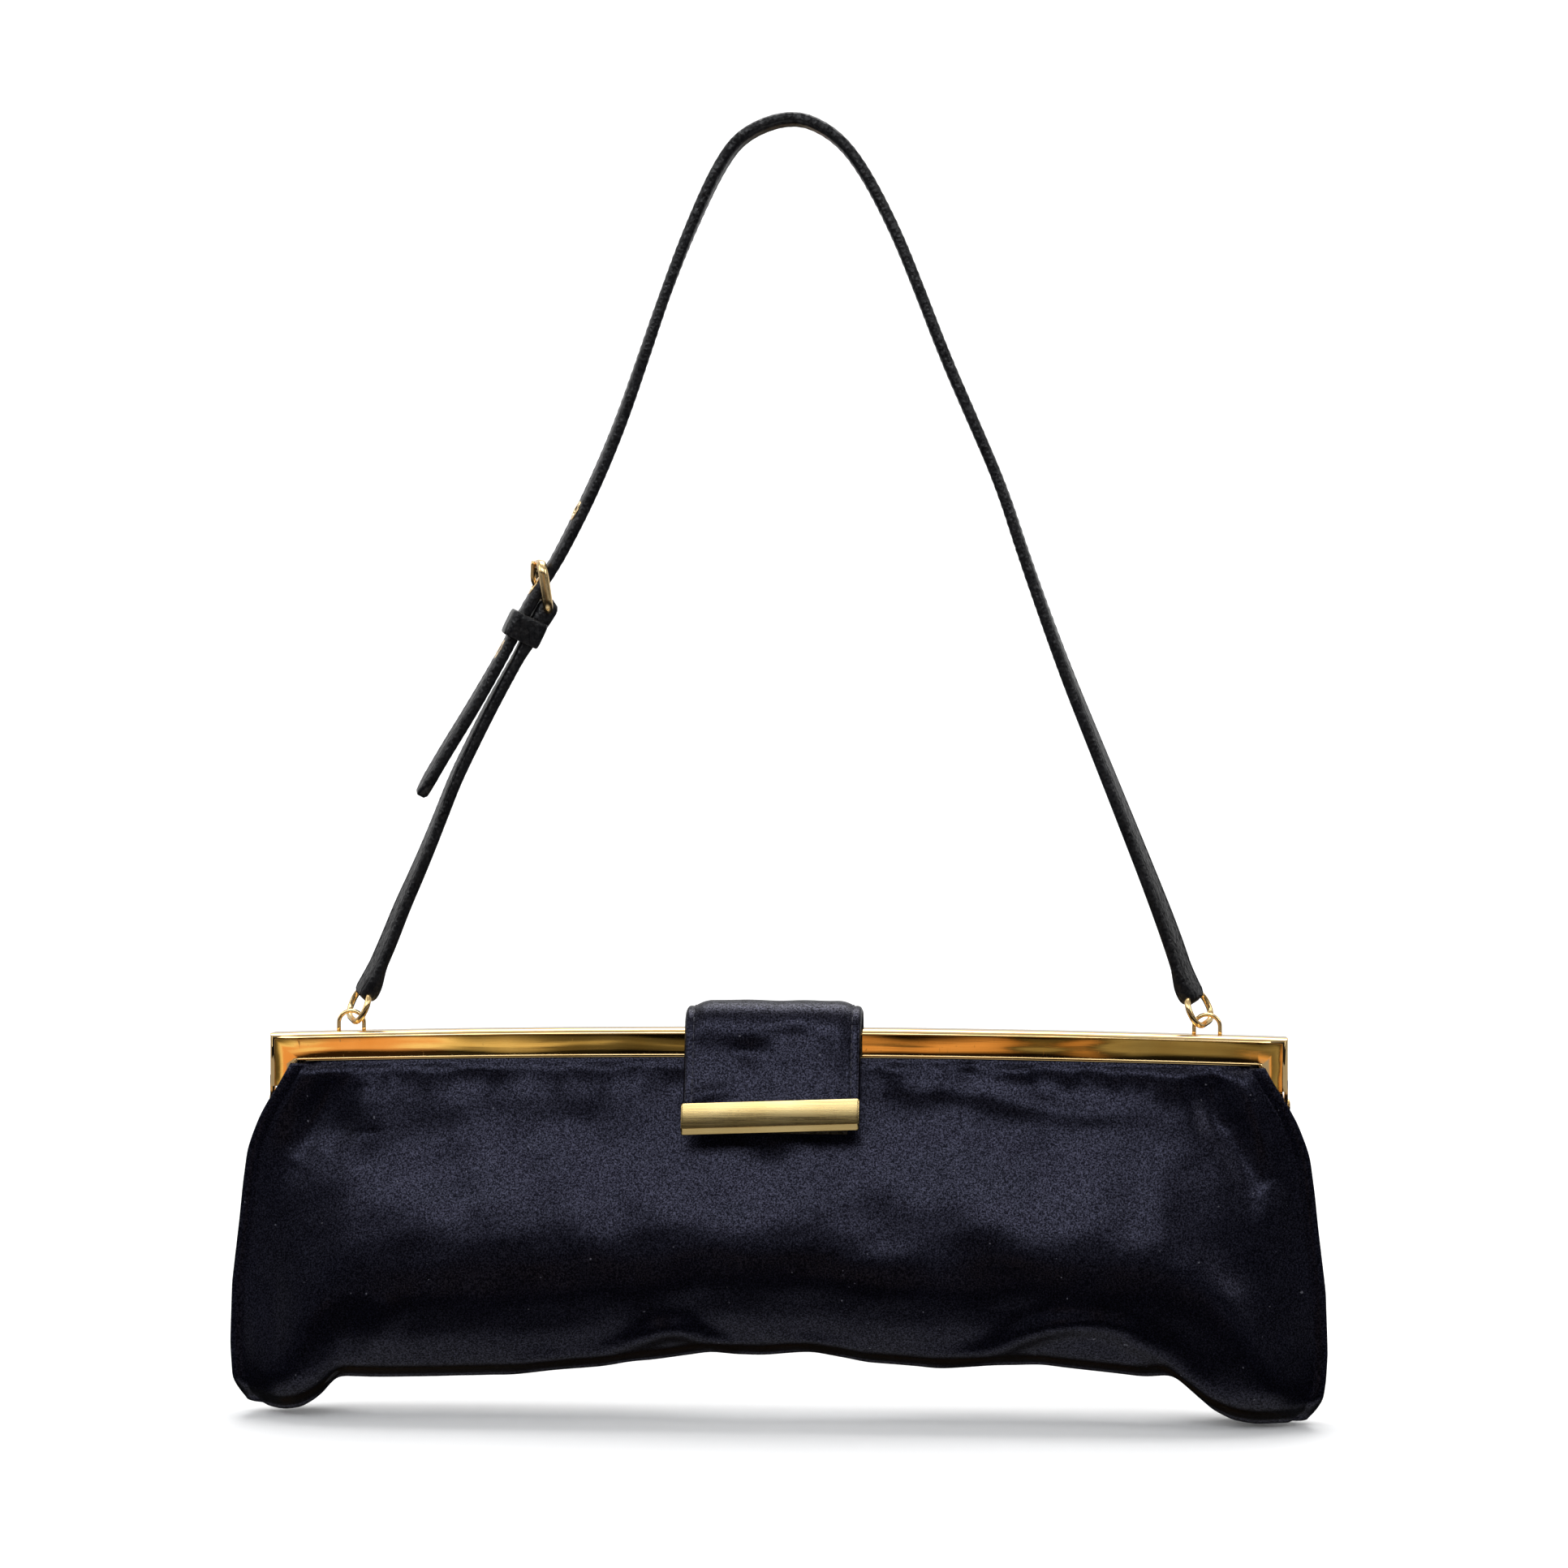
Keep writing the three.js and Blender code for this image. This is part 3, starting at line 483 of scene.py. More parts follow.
# ---------- satin body ----------
HALF_WIDTH_AT = smooth_table(
    [
        (0, 138), (4, 141.5), (8, 143.5), (12, 144.4), (20, 144.9), (36, 144.4), (53, 142.4), (62, 141.5),
        (71, 140.3), (75, 139), (80, 137), (84, 134.8), (88, 132.2), (95, 128.2), (100, 127),
    ],
    1.2,
)
DEPTH_AT = smooth_table(
    [
        (0, 6), (0.05, 11), (0.15, 16.5), (0.27, 20.1), (0.37, 20.3), (0.45, 18.9), (0.53, 16.6),
        (0.69, 11.4), (0.77, 9.0), (0.86, 6.5), (0.92, 5.1), (0.96, 4.6), (1, 4.3),
    ],
    0.022,
)
HEM_AT = smooth_table(
    [
        (-145, 9), (-139, 4.2), (-132, 1.4), (-126, 2), (-119.6, 4.8), (-113, 10.6), (-100, 10.4),
        (-80, 11), (-68, 11.4), (-55, 13), (-42, 14.2), (-29, 16.2), (-16, 18.2), (-3, 17.4),
        (9.7, 18.6), (16, 17.6), (23, 15.8), (42, 14.5), (55, 15.4), (68, 15.6), (81, 14.2), (94, 12.8),
        (101, 13.6), (107, 8.6), (113, 4.4), (120, 1.6), (126, 0.7), (136, 1.2), (141, 3), (146, 9),
    ],
    1.6,
)
SEAM_FLANGE = 3.4  # the turned edge outside the side stitching
SEAM_DEPTH = 6.0
PANEL_TOP = FACE_HEIGHT + 0.4
CLOTH_HEIGHT = 95  # roughly, from the base seam up to the frame
PATCH_Z, PATCH_RISE, PATCH_SPREAD = 80, 2.4, 5.0  # the cloth stands out over the clasp's stiff patch
ACROSS_COUNT = 261
DOWN_COUNT = 119

# Each fold runs through (x, z) points: width, height and how much deeper its lower side is.
FRONT_FOLDS = [
    ([(-108, 85), (-96, 84), (-70, 85.5), (-45, 86), (-26, 86)], 3.6, 0.5, 0.0),
    ([(25, 88), (42, 88.5), (54, 87.5), (65, 84.5), (80, 82), (98, 82.2)], 2.6, 0.8, 0.1),
    ([(-118, 93), (-119, 86), (-124, 76), (-127, 68)], 3.2, -1.9, 0.0),
    ([(-112, 93), (-109, 84), (-108, 76)], 4.0, 1.3, 0.0),
    ([(-110, 90), (-113, 80), (-119, 70)], 3.0, -1.2, 0.0),
    ([(115, 93), (114, 85), (117, 76)], 3.2, -1.8, 0.0),
    ([(121, 94), (123, 88), (126, 78), (129, 66)], 3.0, 1.2, 0.0),
    ([(120, 82), (123, 73), (127, 62)], 3.6, -1.5, 0.0),
    ([(128, 64), (131, 58), (129, 50)], 3.6, 1.3, 0.0),
    ([(43, 16), (56, 19.5), (66, 25), (76, 29), (90, 28)], 2.6, 2.8, 1.6),
    ([(88, 28), (100, 22), (108, 15), (116, 7)], 3.2, 2.2, 1.1),
    ([(-46, 18), (-34, 23), (-26, 26.4), (-17, 23), (-8, 18)], 2.4, 2.6, 1.6),
    ([(5, 22), (14, 20.5), (20, 16)], 2.2, 1.4, 1.0),
    ([(-108, 13), (-104, 22), (-98, 34)], 3.8, 1.2, 0.4),
    ([(-128, 8), (-124, 20), (-120, 34)], 4.2, 1.3, 0.3),
    ([(-134, 12), (-133, 26), (-131, 40)], 3.0, -1.0, 0.0),
    ([(130, 8), (126, 20), (119, 32), (110, 42)], 4.6, 1.4, 0.4),
    ([(-104, 46), (-80, 44), (-58, 40), (-36, 41)], 7.0, -0.8, 0.0),
    ([(8, 46), (26, 53), (44, 50), (62, 38)], 7.0, -1.0, 0.0),
    ([(-70, 13), (-62, 17), (-52, 17)], 2.4, 0.9, 0.6),
]
REAR_FOLDS = [
    ([(-104, 87), (-60, 85), (-20, 88), (40, 86), (104, 88)], 3.8, 1.4, 0.5),
    ([(-117, 93), (-119, 84), (-126, 70)], 3.2, -1.7, 0.0),
    ([(117, 93), (119, 84), (125, 68)], 3.4, -1.7, 0.0),
    ([(-60, 18), (-44, 25), (-28, 27), (-12, 20)], 3.0, 2.0, 1.1),
    ([(18, 17), (36, 24), (54, 28), (76, 24), (94, 15)], 3.2, 2.0, 1.1),
    ([(-128, 8), (-122, 24), (-112, 40)], 4.4, 1.4, 0.3),
    ([(128, 8), (121, 24), (110, 38)], 4.4, 1.4, 0.3),
    ([(-60, 50), (-20, 44), (30, 50), (70, 44)], 8.0, -0.9, 0.0),
]


def fold_height(x, z, folds):
    """How far soft folds push the cloth out at each (x, z). A fold fades out towards both its ends."""
    total = np.zeros(x.shape)
    for points, width, height, undercut in folds:
        line = resample(points, 36)
        nearest = np.full(x.shape, 1e9)
        signed = np.zeros(x.shape)
        strength = np.zeros(x.shape)
        direction = tangents(line)
        for index, (px, pz) in enumerate(line):
            away = np.hypot(x - px, z - pz)
            closer = away < nearest
            fade = math.sin(math.pi * (0.06 + 0.88 * index / (len(line) - 1))) ** 0.7
            cross = direction[index, 0] * (z - pz) - direction[index, 1] * (x - px)
            nearest = np.where(closer, away, nearest)
            signed = np.where(closer, cross, signed)
            strength = np.where(closer, fade, strength)
        ridge = np.exp(-0.5 * (nearest / width) ** 2)
        below = np.exp(-0.5 * (nearest / (width * 0.9)) ** 2) * smoothstep(0, -2.2 * width, signed)
        total += height * strength * ridge
        total -= undercut * strength * below * 2.4
    return total


def body_face(facing, folds, seed):
    """The grid of one face of the purse: rows run from inside the frame's channel down to the base seam."""
    down = np.linspace(0, 1, DOWN_COUNT)
    turn = 0.86 * math.pi / 2  # the columns crowd towards the side seams
    across = np.sin(np.linspace(-turn, turn, ACROSS_COUNT)) / math.sin(turn)
    u, v = np.meshgrid(across, down)
    share = 1 - v
    x = u * HALF_WIDTH_AT(share * CLOTH_HEIGHT)
    hem = HEM_AT(x)
    top = frame_top(x) - PANEL_TOP
    z = hem + share * (top - hem)
    x = u * HALF_WIDTH_AT(z)
    edge_distance = HALF_WIDTH_AT(z) - np.abs(x)
    belly = DEPTH_AT(share)
    side_fall = 1 - np.exp(-np.maximum(edge_distance - 1.0, 0) / 9.0)
    depth = SEAM_DEPTH + (belly - SEAM_DEPTH) * side_fall * (1 - np.abs(u) ** 8)
    # The lower corners swell, and the base closes to a seam.
    lobe = smoothstep(104, 128, np.abs(x)) * smoothstep(42, 6, z)
    depth += 3.4 * lobe * smoothstep(1.5, 12, edge_distance) * smoothstep(-0.02, 0.12, share)
    lower = smoothstep(0.06, 0.0, share)
    depth = depth * (1 - lower) + 0.45 * lower
    depth += PATCH_RISE * np.exp(-0.5 * (x ** 2 + (z - PATCH_Z) ** 2) / PATCH_SPREAD ** 2)
    # Folds, fine wandering and small tucks under the frame, all fading out at the seams.
    puff = fold_height(x, z, folds) * smoothstep(1.0, 0.94, share) * smoothstep(2.5, 9, edge_distance)
    fine = noise(x, z, seed, 26) * 0.28 + noise(x, z, seed + 1, 11) * 0.1
    tuck = noise(x, z * 0.15, seed + 2, 7.5) * 0.45 * smoothstep(0.86, 0.97, share)
    puff += (fine + tuck) * smoothstep(1.5, 8, edge_distance)
    # The cloth gathers into the channel's mouth, which is narrower than the opening over the hinges.
    gather = smoothstep(0.955, 1.0, share)
    mouth = 5.5 - 2.0 * smoothstep(127, 124, np.abs(x))
    depth = depth * (1 - gather ** 2) + mouth * gather ** 2 + puff * (1 - gather)
    # The side stitches sink in, and the turned edge outside them is rounded.
    depth -= 0.35 * np.exp(-0.5 * ((edge_distance - SEAM_FLANGE) / 0.55) ** 2)
    depth += 0.5 * np.exp(-0.5 * ((edge_distance - 1.2) / 1.0) ** 2)
    depth = np.maximum(depth, 0.4)
    tucked = np.where(v == 0, 2.2 * smoothstep(123, 120, np.abs(x)), 0)
    return np.stack([x, -facing * depth, np.maximum(z, 0.25) + tucked], axis=-1)


def satin_face(name, facing, folds, seed):
    points = body_face(facing, folds, seed)
    rows, columns = points.shape[:2]
    faces = grid_faces(rows, columns)
    if facing < 0:
        faces = [face[::-1] for face in faces]
    mesh = bpy.data.meshes.new(name)
    mesh.from_pydata((points.reshape(-1, 3) * MM).tolist(), [], faces)
    mesh.polygons.foreach_set("use_smooth", [True] * len(mesh.polygons))
    return points, thicken(add_object(name, mesh, SATIN), 0.7)


def seam_stitches(name, face, facing, pitch=2.4):
    """Topstitching that follows the side seams of a face."""
    rows, columns = face.shape[:2]
    runs = []
    for side in (-1, 1):
        line = []
        for row in range(1, rows - 1):
            half = HALF_WIDTH_AT(face[row, 0, 2])
            target = side * (half - SEAM_FLANGE)
            depth = np.interp(target, face[row, :, 0], face[row, :, 1])
            height = np.interp(target, face[row, :, 0], face[row, :, 2])
            line.append((target, depth - facing * 0.12, height))
        runs.append(np.array(line))
    return stitch_run(name, runs, pitch, 0.2, SATIN_THREAD, out=(0, -facing, 0))


def stitch_run(name, runs, pitch, radius, material, out, gap=0.28, warp=None):
    """Short rounded threads laid end to end along each line."""
    points, faces = [], []
    ring = circle(1, 6)
    profile = [(-0.5, 0.35), (-0.38, 0.85), (0, 1.0), (0.38, 0.85), (0.5, 0.35)]
    for run in runs:
        length = run_length(run)
        count = max(1, int(length[-1] / pitch))
        outward = np.broadcast_to(np.asarray(out, float), run.shape)
        for index in range(count):
            middle = (index + 0.5) * length[-1] / count
            reach = (1 - gap) * length[-1] / count
            stations = []
            for share, size in profile:
                at = middle + share * reach
                spot = np.array([np.interp(at, length, run[:, k]) for k in range(3)])
                lift = np.array([np.interp(at, length, outward[:, k]) for k in range(3)])
                stations.append((spot, lift, size))
            along = unit(stations[-1][0] - stations[0][0])
            start = len(points)
            for spot, lift, size in stations:
                side = unit(np.cross(along, lift))
                base = spot - lift * radius * 0.6 * (1 - size)
                for a, b in ring:
                    points.append(base + (side * a + lift * b) * radius * size)
            for row in range(len(profile) - 1):
                for k in range(6):
                    here = start + row * 6
                    faces.append((here + k, here + (k + 1) % 6, here + 6 + (k + 1) % 6, here + 6 + k))
            faces.append(tuple(start + k for k in range(6)))
            faces.append(tuple(start + (len(profile) - 1) * 6 + k for k in range(6)))
    points = np.array(points)
    if warp:
        points = warp(points)
    return mesh_object(name, points, faces, material)


def gusset(name, side, edge, other):
    """Half of a side strip, from a face's edge to the fold down the strip's middle."""
    rows = len(edge)
    columns = 12
    points = np.zeros((rows, columns, 3))
    for k in range(columns):
        t = 0.5 * k / (columns - 1)
        points[:, k] = edge * (1 - t) + other * t
        height = points[:, k, 2]
        fold = math.sin(math.pi * t) ** 1.3
        deep = 5.0 * smoothstep(2, 22, height) + 3.5 * smoothstep(60, 84, height)
        ripple = 0.5 * np.sin(height / 5.3 + 2.1 * t) * math.sin(math.pi * t)
        points[:, k, 0] -= side * (deep * fold + ripple + 0.45)
    obj = mesh_object(name, points.reshape(-1, 3), grid_faces(rows, columns), SATIN)
    return thicken(obj, 0.5)


def lining_face(name, grid, facing, inset, rows, half=None):
    """A thin inner layer that follows a face of the satin."""
    points = grid[rows, ::3].copy()
    points[..., 0] *= 1 - 2.0 * inset / FRAME_HALF
    points[..., 1] = -facing * np.maximum(np.abs(points[..., 1]) - inset, 0.5)
    points[..., 2] += 1.2 * smoothstep(30, 15, points[..., 2])
    if half:
        points = points[:, np.abs(points[0, :, 0]) < half]
    height, width = points.shape[:2]
    obj = mesh_object(name, points.reshape(-1, 3), grid_faces(height, width), LINING)
    return thicken(obj, 0.4)


FRONT_GRID, front_skin = satin_face("satin_front", 1, FRONT_FOLDS, 3)
REAR_GRID, rear_skin = satin_face("satin_rear", -1, REAR_FOLDS, 8)
front_stitches = seam_stitches("side_stitches_front", FRONT_GRID, 1)
rear_stitches = seam_stitches("side_stitches_rear", REAR_GRID, -1)
front_lining = lining_face("lining_front", FRONT_GRID, 1, 1.9, slice(9, -5, 2))
rear_lining = lining_face("lining_rear", REAR_GRID, -1, 1.9, slice(9, -5, 2))
pocket = lining_face("lining_pocket_sheet", REAR_GRID, -1, 3.1, slice(30, 82, 2), 60)


def opens_with_front(piece, slot, *nodes):
    """Bakes the placement of a piece of the front side into its mesh and hides the named CAD nodes."""
    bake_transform(piece)
    if nodes:
        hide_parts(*nodes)


opens_with_front(front_skin, "satin", "front_panel")
opens_with_front(front_stitches, "satin")
opens_with_front(front_lining, "lining", "front_lining")
place(rear_skin, "bag", "satin", "rear_panel")
place(rear_stitches, "bag", "satin")
place(rear_lining, "bag", "lining", "rear_lining")
place(pocket, "bag", "lining", "lining_pocket")
for side, name in ((-1, "left_gusset"), (1, "right_gusset")):
    column = 0 if side < 0 else ACROSS_COUNT - 1
    below_hinge = FRONT_GRID[:, column, 2] < 90.5
    front_edge = FRONT_GRID[below_hinge, column]
    rear_edge = REAR_GRID[below_hinge, column]
    front_half = gusset(name + "_front_fold", side, front_edge, rear_edge)
    rear_half = gusset(name + "_rear_fold", side, rear_edge, front_edge)
    opens_with_front(front_half, "satin")
    place(rear_half, "bag", "satin", name)


# ---------- metal frame ----------
# The channel's section: inwards from the frame's outer edge, and out from the parting plane.
FRAME_SECTION = [
    (0.0, 0.15), (0.0, 3.3), (0.12, 3.75), (0.42, 4.25), (0.85, 4.62), (1.25, 4.78), (1.42, 4.72),
    (1.5, 4.6), (1.75, 4.58), (4.2, 4.57), (6.6, 4.58), (6.75, 4.6), (6.85, 4.72), (7.0, 4.78),
    (7.3, 4.78), (7.5, 4.66), (7.6, 4.4), (7.56, 4.1), (7.4, 4.0), (0.9, 4.0), (0.9, 0.95),
    (7.3, 0.95), (7.45, 0.85), (7.45, 0.25), (7.3, 0.15),
]


def frame_stations():
    """Points along the frame's outer edge, each with the direction its section runs in."""
    corner_z = frame_top(FRAME_HALF)
    clear = FACE_HEIGHT + 0.4  # no station falls inside a corner's mitre
    left_leg = [(-FRAME_HALF, z, 1, 0) for z in np.linspace(LEG_BOTTOM, corner_z - clear, 3)]
    bar = [(x, frame_top(x), 0, -1) for x in np.linspace(clear - FRAME_HALF, FRAME_HALF - clear, 57)]
    right_leg = [(FRAME_HALF, z, -1, 0) for _, z, _, _ in reversed(left_leg)]
    left_corner = [(-FRAME_HALF, corner_z, 1, -1)]
    right_corner = [(FRAME_HALF, corner_z, -1, -1)]
    return left_leg + left_corner + bar + right_corner + right_leg


def frame_half(name, facing, ear_outer):
    """One half of the frame: a mitred channel with a hinge ear under each leg."""
    stations = frame_stations()
    points = [
        (x + inward_x * inward, -facing * out, z + inward_z * inward)
        for x, z, inward_x, inward_z in stations
        for inward, out in FRAME_SECTION
    ]
    faces = tube_faces(len(stations), len(FRAME_SECTION), False)
    body = mesh_object(name, points, faces, GOLD)
    ears = [hinge_ear(side, facing, ear_outer) for side in (-1, 1)]
    return sharp_edges(join_objects(name, [body, *ears]), 32)


def extrude_x(name, outline, x0, x1, material, bevel=0.12):
    """A plate across X from its (y, z) outline, with softened edges."""
    count = len(outline)
    points = [(x, y, z) for x in (x0, x1) for y, z in outline]
    faces = [tuple(range(count)), tuple(range(2 * count - 1, count - 1, -1))]
    faces += [(k, (k + 1) % count, count + (k + 1) % count, count + k) for k in range(count)]
    obj = mesh_object(name, points, faces, material)
    modifier = obj.modifiers.new("bevel", "BEVEL")
    modifier.width = bevel * MM
    modifier.segments = 2
    modifier.limit_method = "ANGLE"
    modifier.angle_limit = math.radians(50)
    return bake(obj)


def hinge_ear(side, facing, outer):
    """A rounded plate that reaches down from a leg to the hinge rivet."""
    outline = [(-3.8, LEG_BOTTOM + 3), (-3.8, HINGE_Z + 1.5), (-3.3, HINGE_Z - 0.8), (-2.4, HINGE_Z - 2.2)]
    for step in range(13):
        angle = math.radians(-120 + 210 * step / 12)
        outline.append((3.2 * math.cos(angle), HINGE_Z + 3.2 * math.sin(angle)))
    outline += [(-0.15, LEG_BOTTOM + 0.5), (-0.15, LEG_BOTTOM + 3)]
    outline = [(facing * y, z) for y, z in outline]
    x0, x1 = sorted((side * outer, side * (outer - 0.8)))
    return extrude_x("ear", outline, x0, x1, GOLD)


def lathe(name, profile, centre, axis, material, count=28):
    """A turned shape from (radius, height) points, about `axis` through `centre`."""
    axis = unit(axis)
    helper = np.array([0, 1, 0]) if abs(axis[1]) < 0.9 else np.array([1, 0, 0])
    first = unit(np.cross(axis, helper))
    second = np.cross(axis, first)
    points = []
    for radius, height in profile:
        for a, b in circle(radius, count):
            points.append(np.asarray(centre) + axis * height + first * a + second * b)
    closed = profile[0] == profile[-1]
    rows = len(profile) - 1 if closed else len(profile)
    points = points[:rows * count]
    return mesh_object(name, points, tube_faces(rows, count, closed), material)


def hinge_rivet(name, side):
    profile = [
        (0.05, -2.9), (0.9, -2.86), (1.5, -2.7), (1.7, -2.4), (1.62, -2.2), (0.9, -2.18), (0.9, 0.18),
        (1.62, 0.2), (1.7, 0.4), (1.5, 0.66), (0.9, 0.8), (0.05, 0.84),
    ]
    rivet = lathe(name, profile, (side * FRAME_HALF, 0, HINGE_Z), (side, 0, 0), GOLD)
    return sharp_edges(rivet, 50)


def frame_loop(name, side):
    """A wire arch with its feet in the top of the rear half."""
    half, wire_radius, straight = 3.4, 0.55, 2.4
    foot_z = frame_top(LOOP_X) - 0.3
    path = [(-half, -0.2), (-half, straight * 0.5), (-half, straight)]
    for step in range(1, 16):
        angle = math.pi * (1 - step / 16)
        path.append((half * math.cos(angle), straight + 3.05 * math.sin(angle)))
    path += [(half, straight), (half, straight * 0.5), (half, -0.2)]
    points = [(side * LOOP_X + x, STRAP_Y, foot_z + z) for x, z in path]
    return wire(name, points, wire_radius, WIRE_GOLD)


def cord_piece(name, facing):
    path = [(x, -facing * 2.25, frame_top(x) - FACE_HEIGHT + 1.9) for x in np.linspace(-119, 119, 121)]
    return wire(name, path, 0.85, CORD, count=12)


place(frame_half("frame_front_half", 1, 135.0), "front", "polished_gold", "front_frame")
place(frame_half("frame_rear_half", -1, 133.9), "bag", "polished_gold", "rear_frame")
place(cord_piece("cord_front", 1), "front", "cord", "front_frame_cord")
place(cord_piece("cord_rear", -1), "bag", "cord", "rear_frame_cord")
for side, word in ((-1, "left"), (1, "right")):
    place(hinge_rivet(word + "_rivet", side), "bag", "polished_gold", word + "_hinge_pin")
    place(frame_loop(word + "_loop", side), "bag", "polished_gold", word + "_frame_loop")


# ---------- strap ----------
# Points along the leather, as (x, height above the ends of the frame).
LONG_POINTS = [
    (108.9, 12.9), (106.9, 20), (103.4, 30), (98.8, 42), (91.9, 59.3), (85, 76.5), (78, 93.7),
    (71.6, 111), (65.6, 128.2), (60, 145.5), (52.6, 162.7), (45.1, 179.9), (38.5, 197.2),
    (31.6, 214.4), (22.5, 231.7), (14.8, 240.3), (4.6, 244.6), (-8.2, 240.3), (-15, 231.7),
    (-23, 214.4), (-29.7, 197.2), (-35.6, 179.9), (-41.6, 162.7), (-48.9, 145.5), (-57.6, 128.2),
    (-62, 121.2), (-67, 113.1), (-71.4, 104.4), (-77.2, 94.2), (-82.6, 85.1), (-88, 76.5),
    (-93.1, 67.9), (-95.5, 63.5),
]
SHORT_POINTS = [
    (-108.9, 12.9), (-107, 18), (-104, 24.8), (-100.6, 33.4), (-96.7, 42), (-93, 50.6),
    (-89.5, 59.3), (-86.1, 67.9), (-81.9, 76.5), (-77.6, 85.1), (-72.8, 93.9), (-67.3, 103.6),
    (-62.6, 111.6),
]
RING_BOTTOM_POINT = (113.4, 3.72)
RING_TOP_POINT = (109.935, 11.151)
BUCKLE_CENTRE = np.array([-62.3, STRAP_Y, 119.4 + STRAP_BASE])
BUCKLE_TILT = math.radians(8.7)
BUCKLE_UP = np.array([-math.sin(BUCKLE_TILT), 0, math.cos(BUCKLE_TILT)])
BUCKLE_OUT = np.array([-BUCKLE_UP[2], 0, BUCKLE_UP[0]])
BUCKLE_HALF, BUCKLE_ACROSS, BUCKLE_CORNER, BUCKLE_WIRE = 5.95, 5.85, 2.6, 1.32
HEEL = BUCKLE_CENTRE - BUCKLE_UP * BUCKLE_HALF
RING_WIRE = 0.82
RING_SLACK = np.array([0.5, 0, -0.22])  # the rings hang free of the loops, so that the strap can swing
# Each eyelet's x, z and how proud its flange stands: the keeper slides over the last, which is pressed flush.
EYELET_SPOTS = ((-52.2, 240.8, 0.28), (-62.9, 220.5, 0.28), (-72.7, 203.9, 0.03))
KEEPER_CENTRE = np.array([-67.352, STRAP_Y, 210.193])
KEEPER_DOWN = np.array([-0.4365, 0, -0.8997])
KEEPER_HALF_LENGTH = 3.5
KEEPER_WALL = 0.62  # half the thickness of its leather

# How far the strap's outer face is rolled towards the front, by height, on each side.
ROLL_RIGHT = smooth_table([(0, 30), (25, 28), (42, 22), (60, 18), (85, 13), (111, 6), (140, 3), (165, 0)], 5)
ROLL_LEFT = smooth_table(
    [(0, 30), (25, 30), (42, 24), (60, 19), (85, 19), (100, 14), (124, 14), (140, 17), (190, 10), (230, 0)], 5
)


def raised(points):
    """Strap points as (x, y, z)."""
    return np.array([(x, STRAP_Y, z + STRAP_BASE) for x, z in points])


def reference_line():
    left_end = [(-RING_BOTTOM_POINT[0], RING_BOTTOM_POINT[1]), (-RING_TOP_POINT[0], RING_TOP_POINT[1])]
    up_left = left_end + SHORT_POINTS[:-1] + [(-62.8, 113), (-60, 121)]
    over = LONG_POINTS[24::-1]
    right_end = [RING_TOP_POINT, RING_BOTTOM_POINT]
    return raised(resample(up_left + over + right_end, 700))


REFERENCE = reference_line()
REFERENCE_ALONG = tangents(REFERENCE)


def roll_at(points):
    height = points[:, 2] - STRAP_BASE
    return np.radians(np.where(points[:, 0] > 5, ROLL_RIGHT(height), ROLL_LEFT(height)))


def twist(points):
    """Turns points near the strap about its line, so that both strap ends show some of their outer face."""
    points = np.asarray(points, float)
    result = np.empty_like(points)
    for start in range(0, len(points), 4000):
        chunk = points[start:start + 4000]
        flat = chunk[:, [0, 2]][:, None] - REFERENCE[None][:, :, [0, 2]]
        nearest = np.argmin(np.sum(flat ** 2, axis=2), axis=1)
        axis = REFERENCE_ALONG[nearest]
        offset = chunk - REFERENCE[nearest]
        along = np.sum(offset * axis, axis=1, keepdims=True)
        centre = REFERENCE[nearest] + axis * along
        arm = chunk - centre
        angle = roll_at(centre)[:, None]
        result[start:start + 4000] = centre + arm * np.cos(angle) + np.cross(axis, arm) * np.sin(angle)
    return result


def strap_section():
    """The strap's section: crowned faces, two stitch grooves a side, and round painted edges."""
    half_width, half_thickness, edge = STRAP_WIDTH / 2, STRAP_THICKNESS / 2, 1.25
    across = np.linspace(-(half_width - edge), half_width - edge, 23)
    crown = half_thickness - 0.1 * (across / half_width) ** 2
    groove = 0.16 * np.exp(-(((np.abs(across) - 2.55) / 0.3) ** 2))
    face = np.column_stack([across, crown - groove])
    cap = []
    for step in range(1, 8):
        angle = math.pi / 2 - math.pi * step / 8
        line = 0.16 if step == 4 else 0.0
        cap.append(((half_width - edge) + (edge - line) * math.cos(angle), face[-1, 1] * math.sin(angle)))
    cap = np.array(cap)
    return np.vstack([face, cap, -face, -cap])


STRAP_OUTLINE = strap_section()


def strap_ribbon(name, line, start_fold, end_fold, tip=0.0):
    """A strap along a line. Each fold is (bar, radius): the leather swells there and turns round a bar."""
    count = int(run_length(line)[-1] / STRAP_STEP)
    line = resample(line, count)
    length = run_length(line)
    wide = np.ones(count)
    thick = np.ones(count)
    for fold, reach, doubled in ((start_fold, length, 9), (end_fold, length[-1] - length, 17)):
        if not fold:
            continue
        beyond = fold - reach
        round_end = np.sqrt(np.clip(1 - (np.clip(beyond, 0, fold) / fold) ** 2, 0.0004, 1))
        swell = 1 + (fold / 1.5 - 1) * smoothstep(fold + doubled, fold, reach)
        thick *= np.where(reach < fold, swell * round_end, swell)
        wide *= 1 - 0.14 * smoothstep(fold + 4, 0, reach)
        wide *= np.where(reach < fold, 0.8 + 0.2 * round_end, 1)
    if tip:
        reach = length[-1] - length
        inset = np.clip(1 - reach / tip, 0, 1)
        wide *= np.sqrt(1 - 0.97 * inset ** 2)
        thick *= np.sqrt(1 - 0.6 * np.clip(1 - reach / 0.9, 0, 1) ** 2)
    scale = np.stack([wide, thick], axis=1)[:, None]
    section = STRAP_OUTLINE[None] * scale
    points = section_sweep(line, np.tile([0.0, 1.0, 0.0], (count, 1)), section)
    faces = tube_faces(count, len(STRAP_OUTLINE), False)
    return mesh_object(name, twist(points.reshape(-1, 3)), faces, LEATHER)


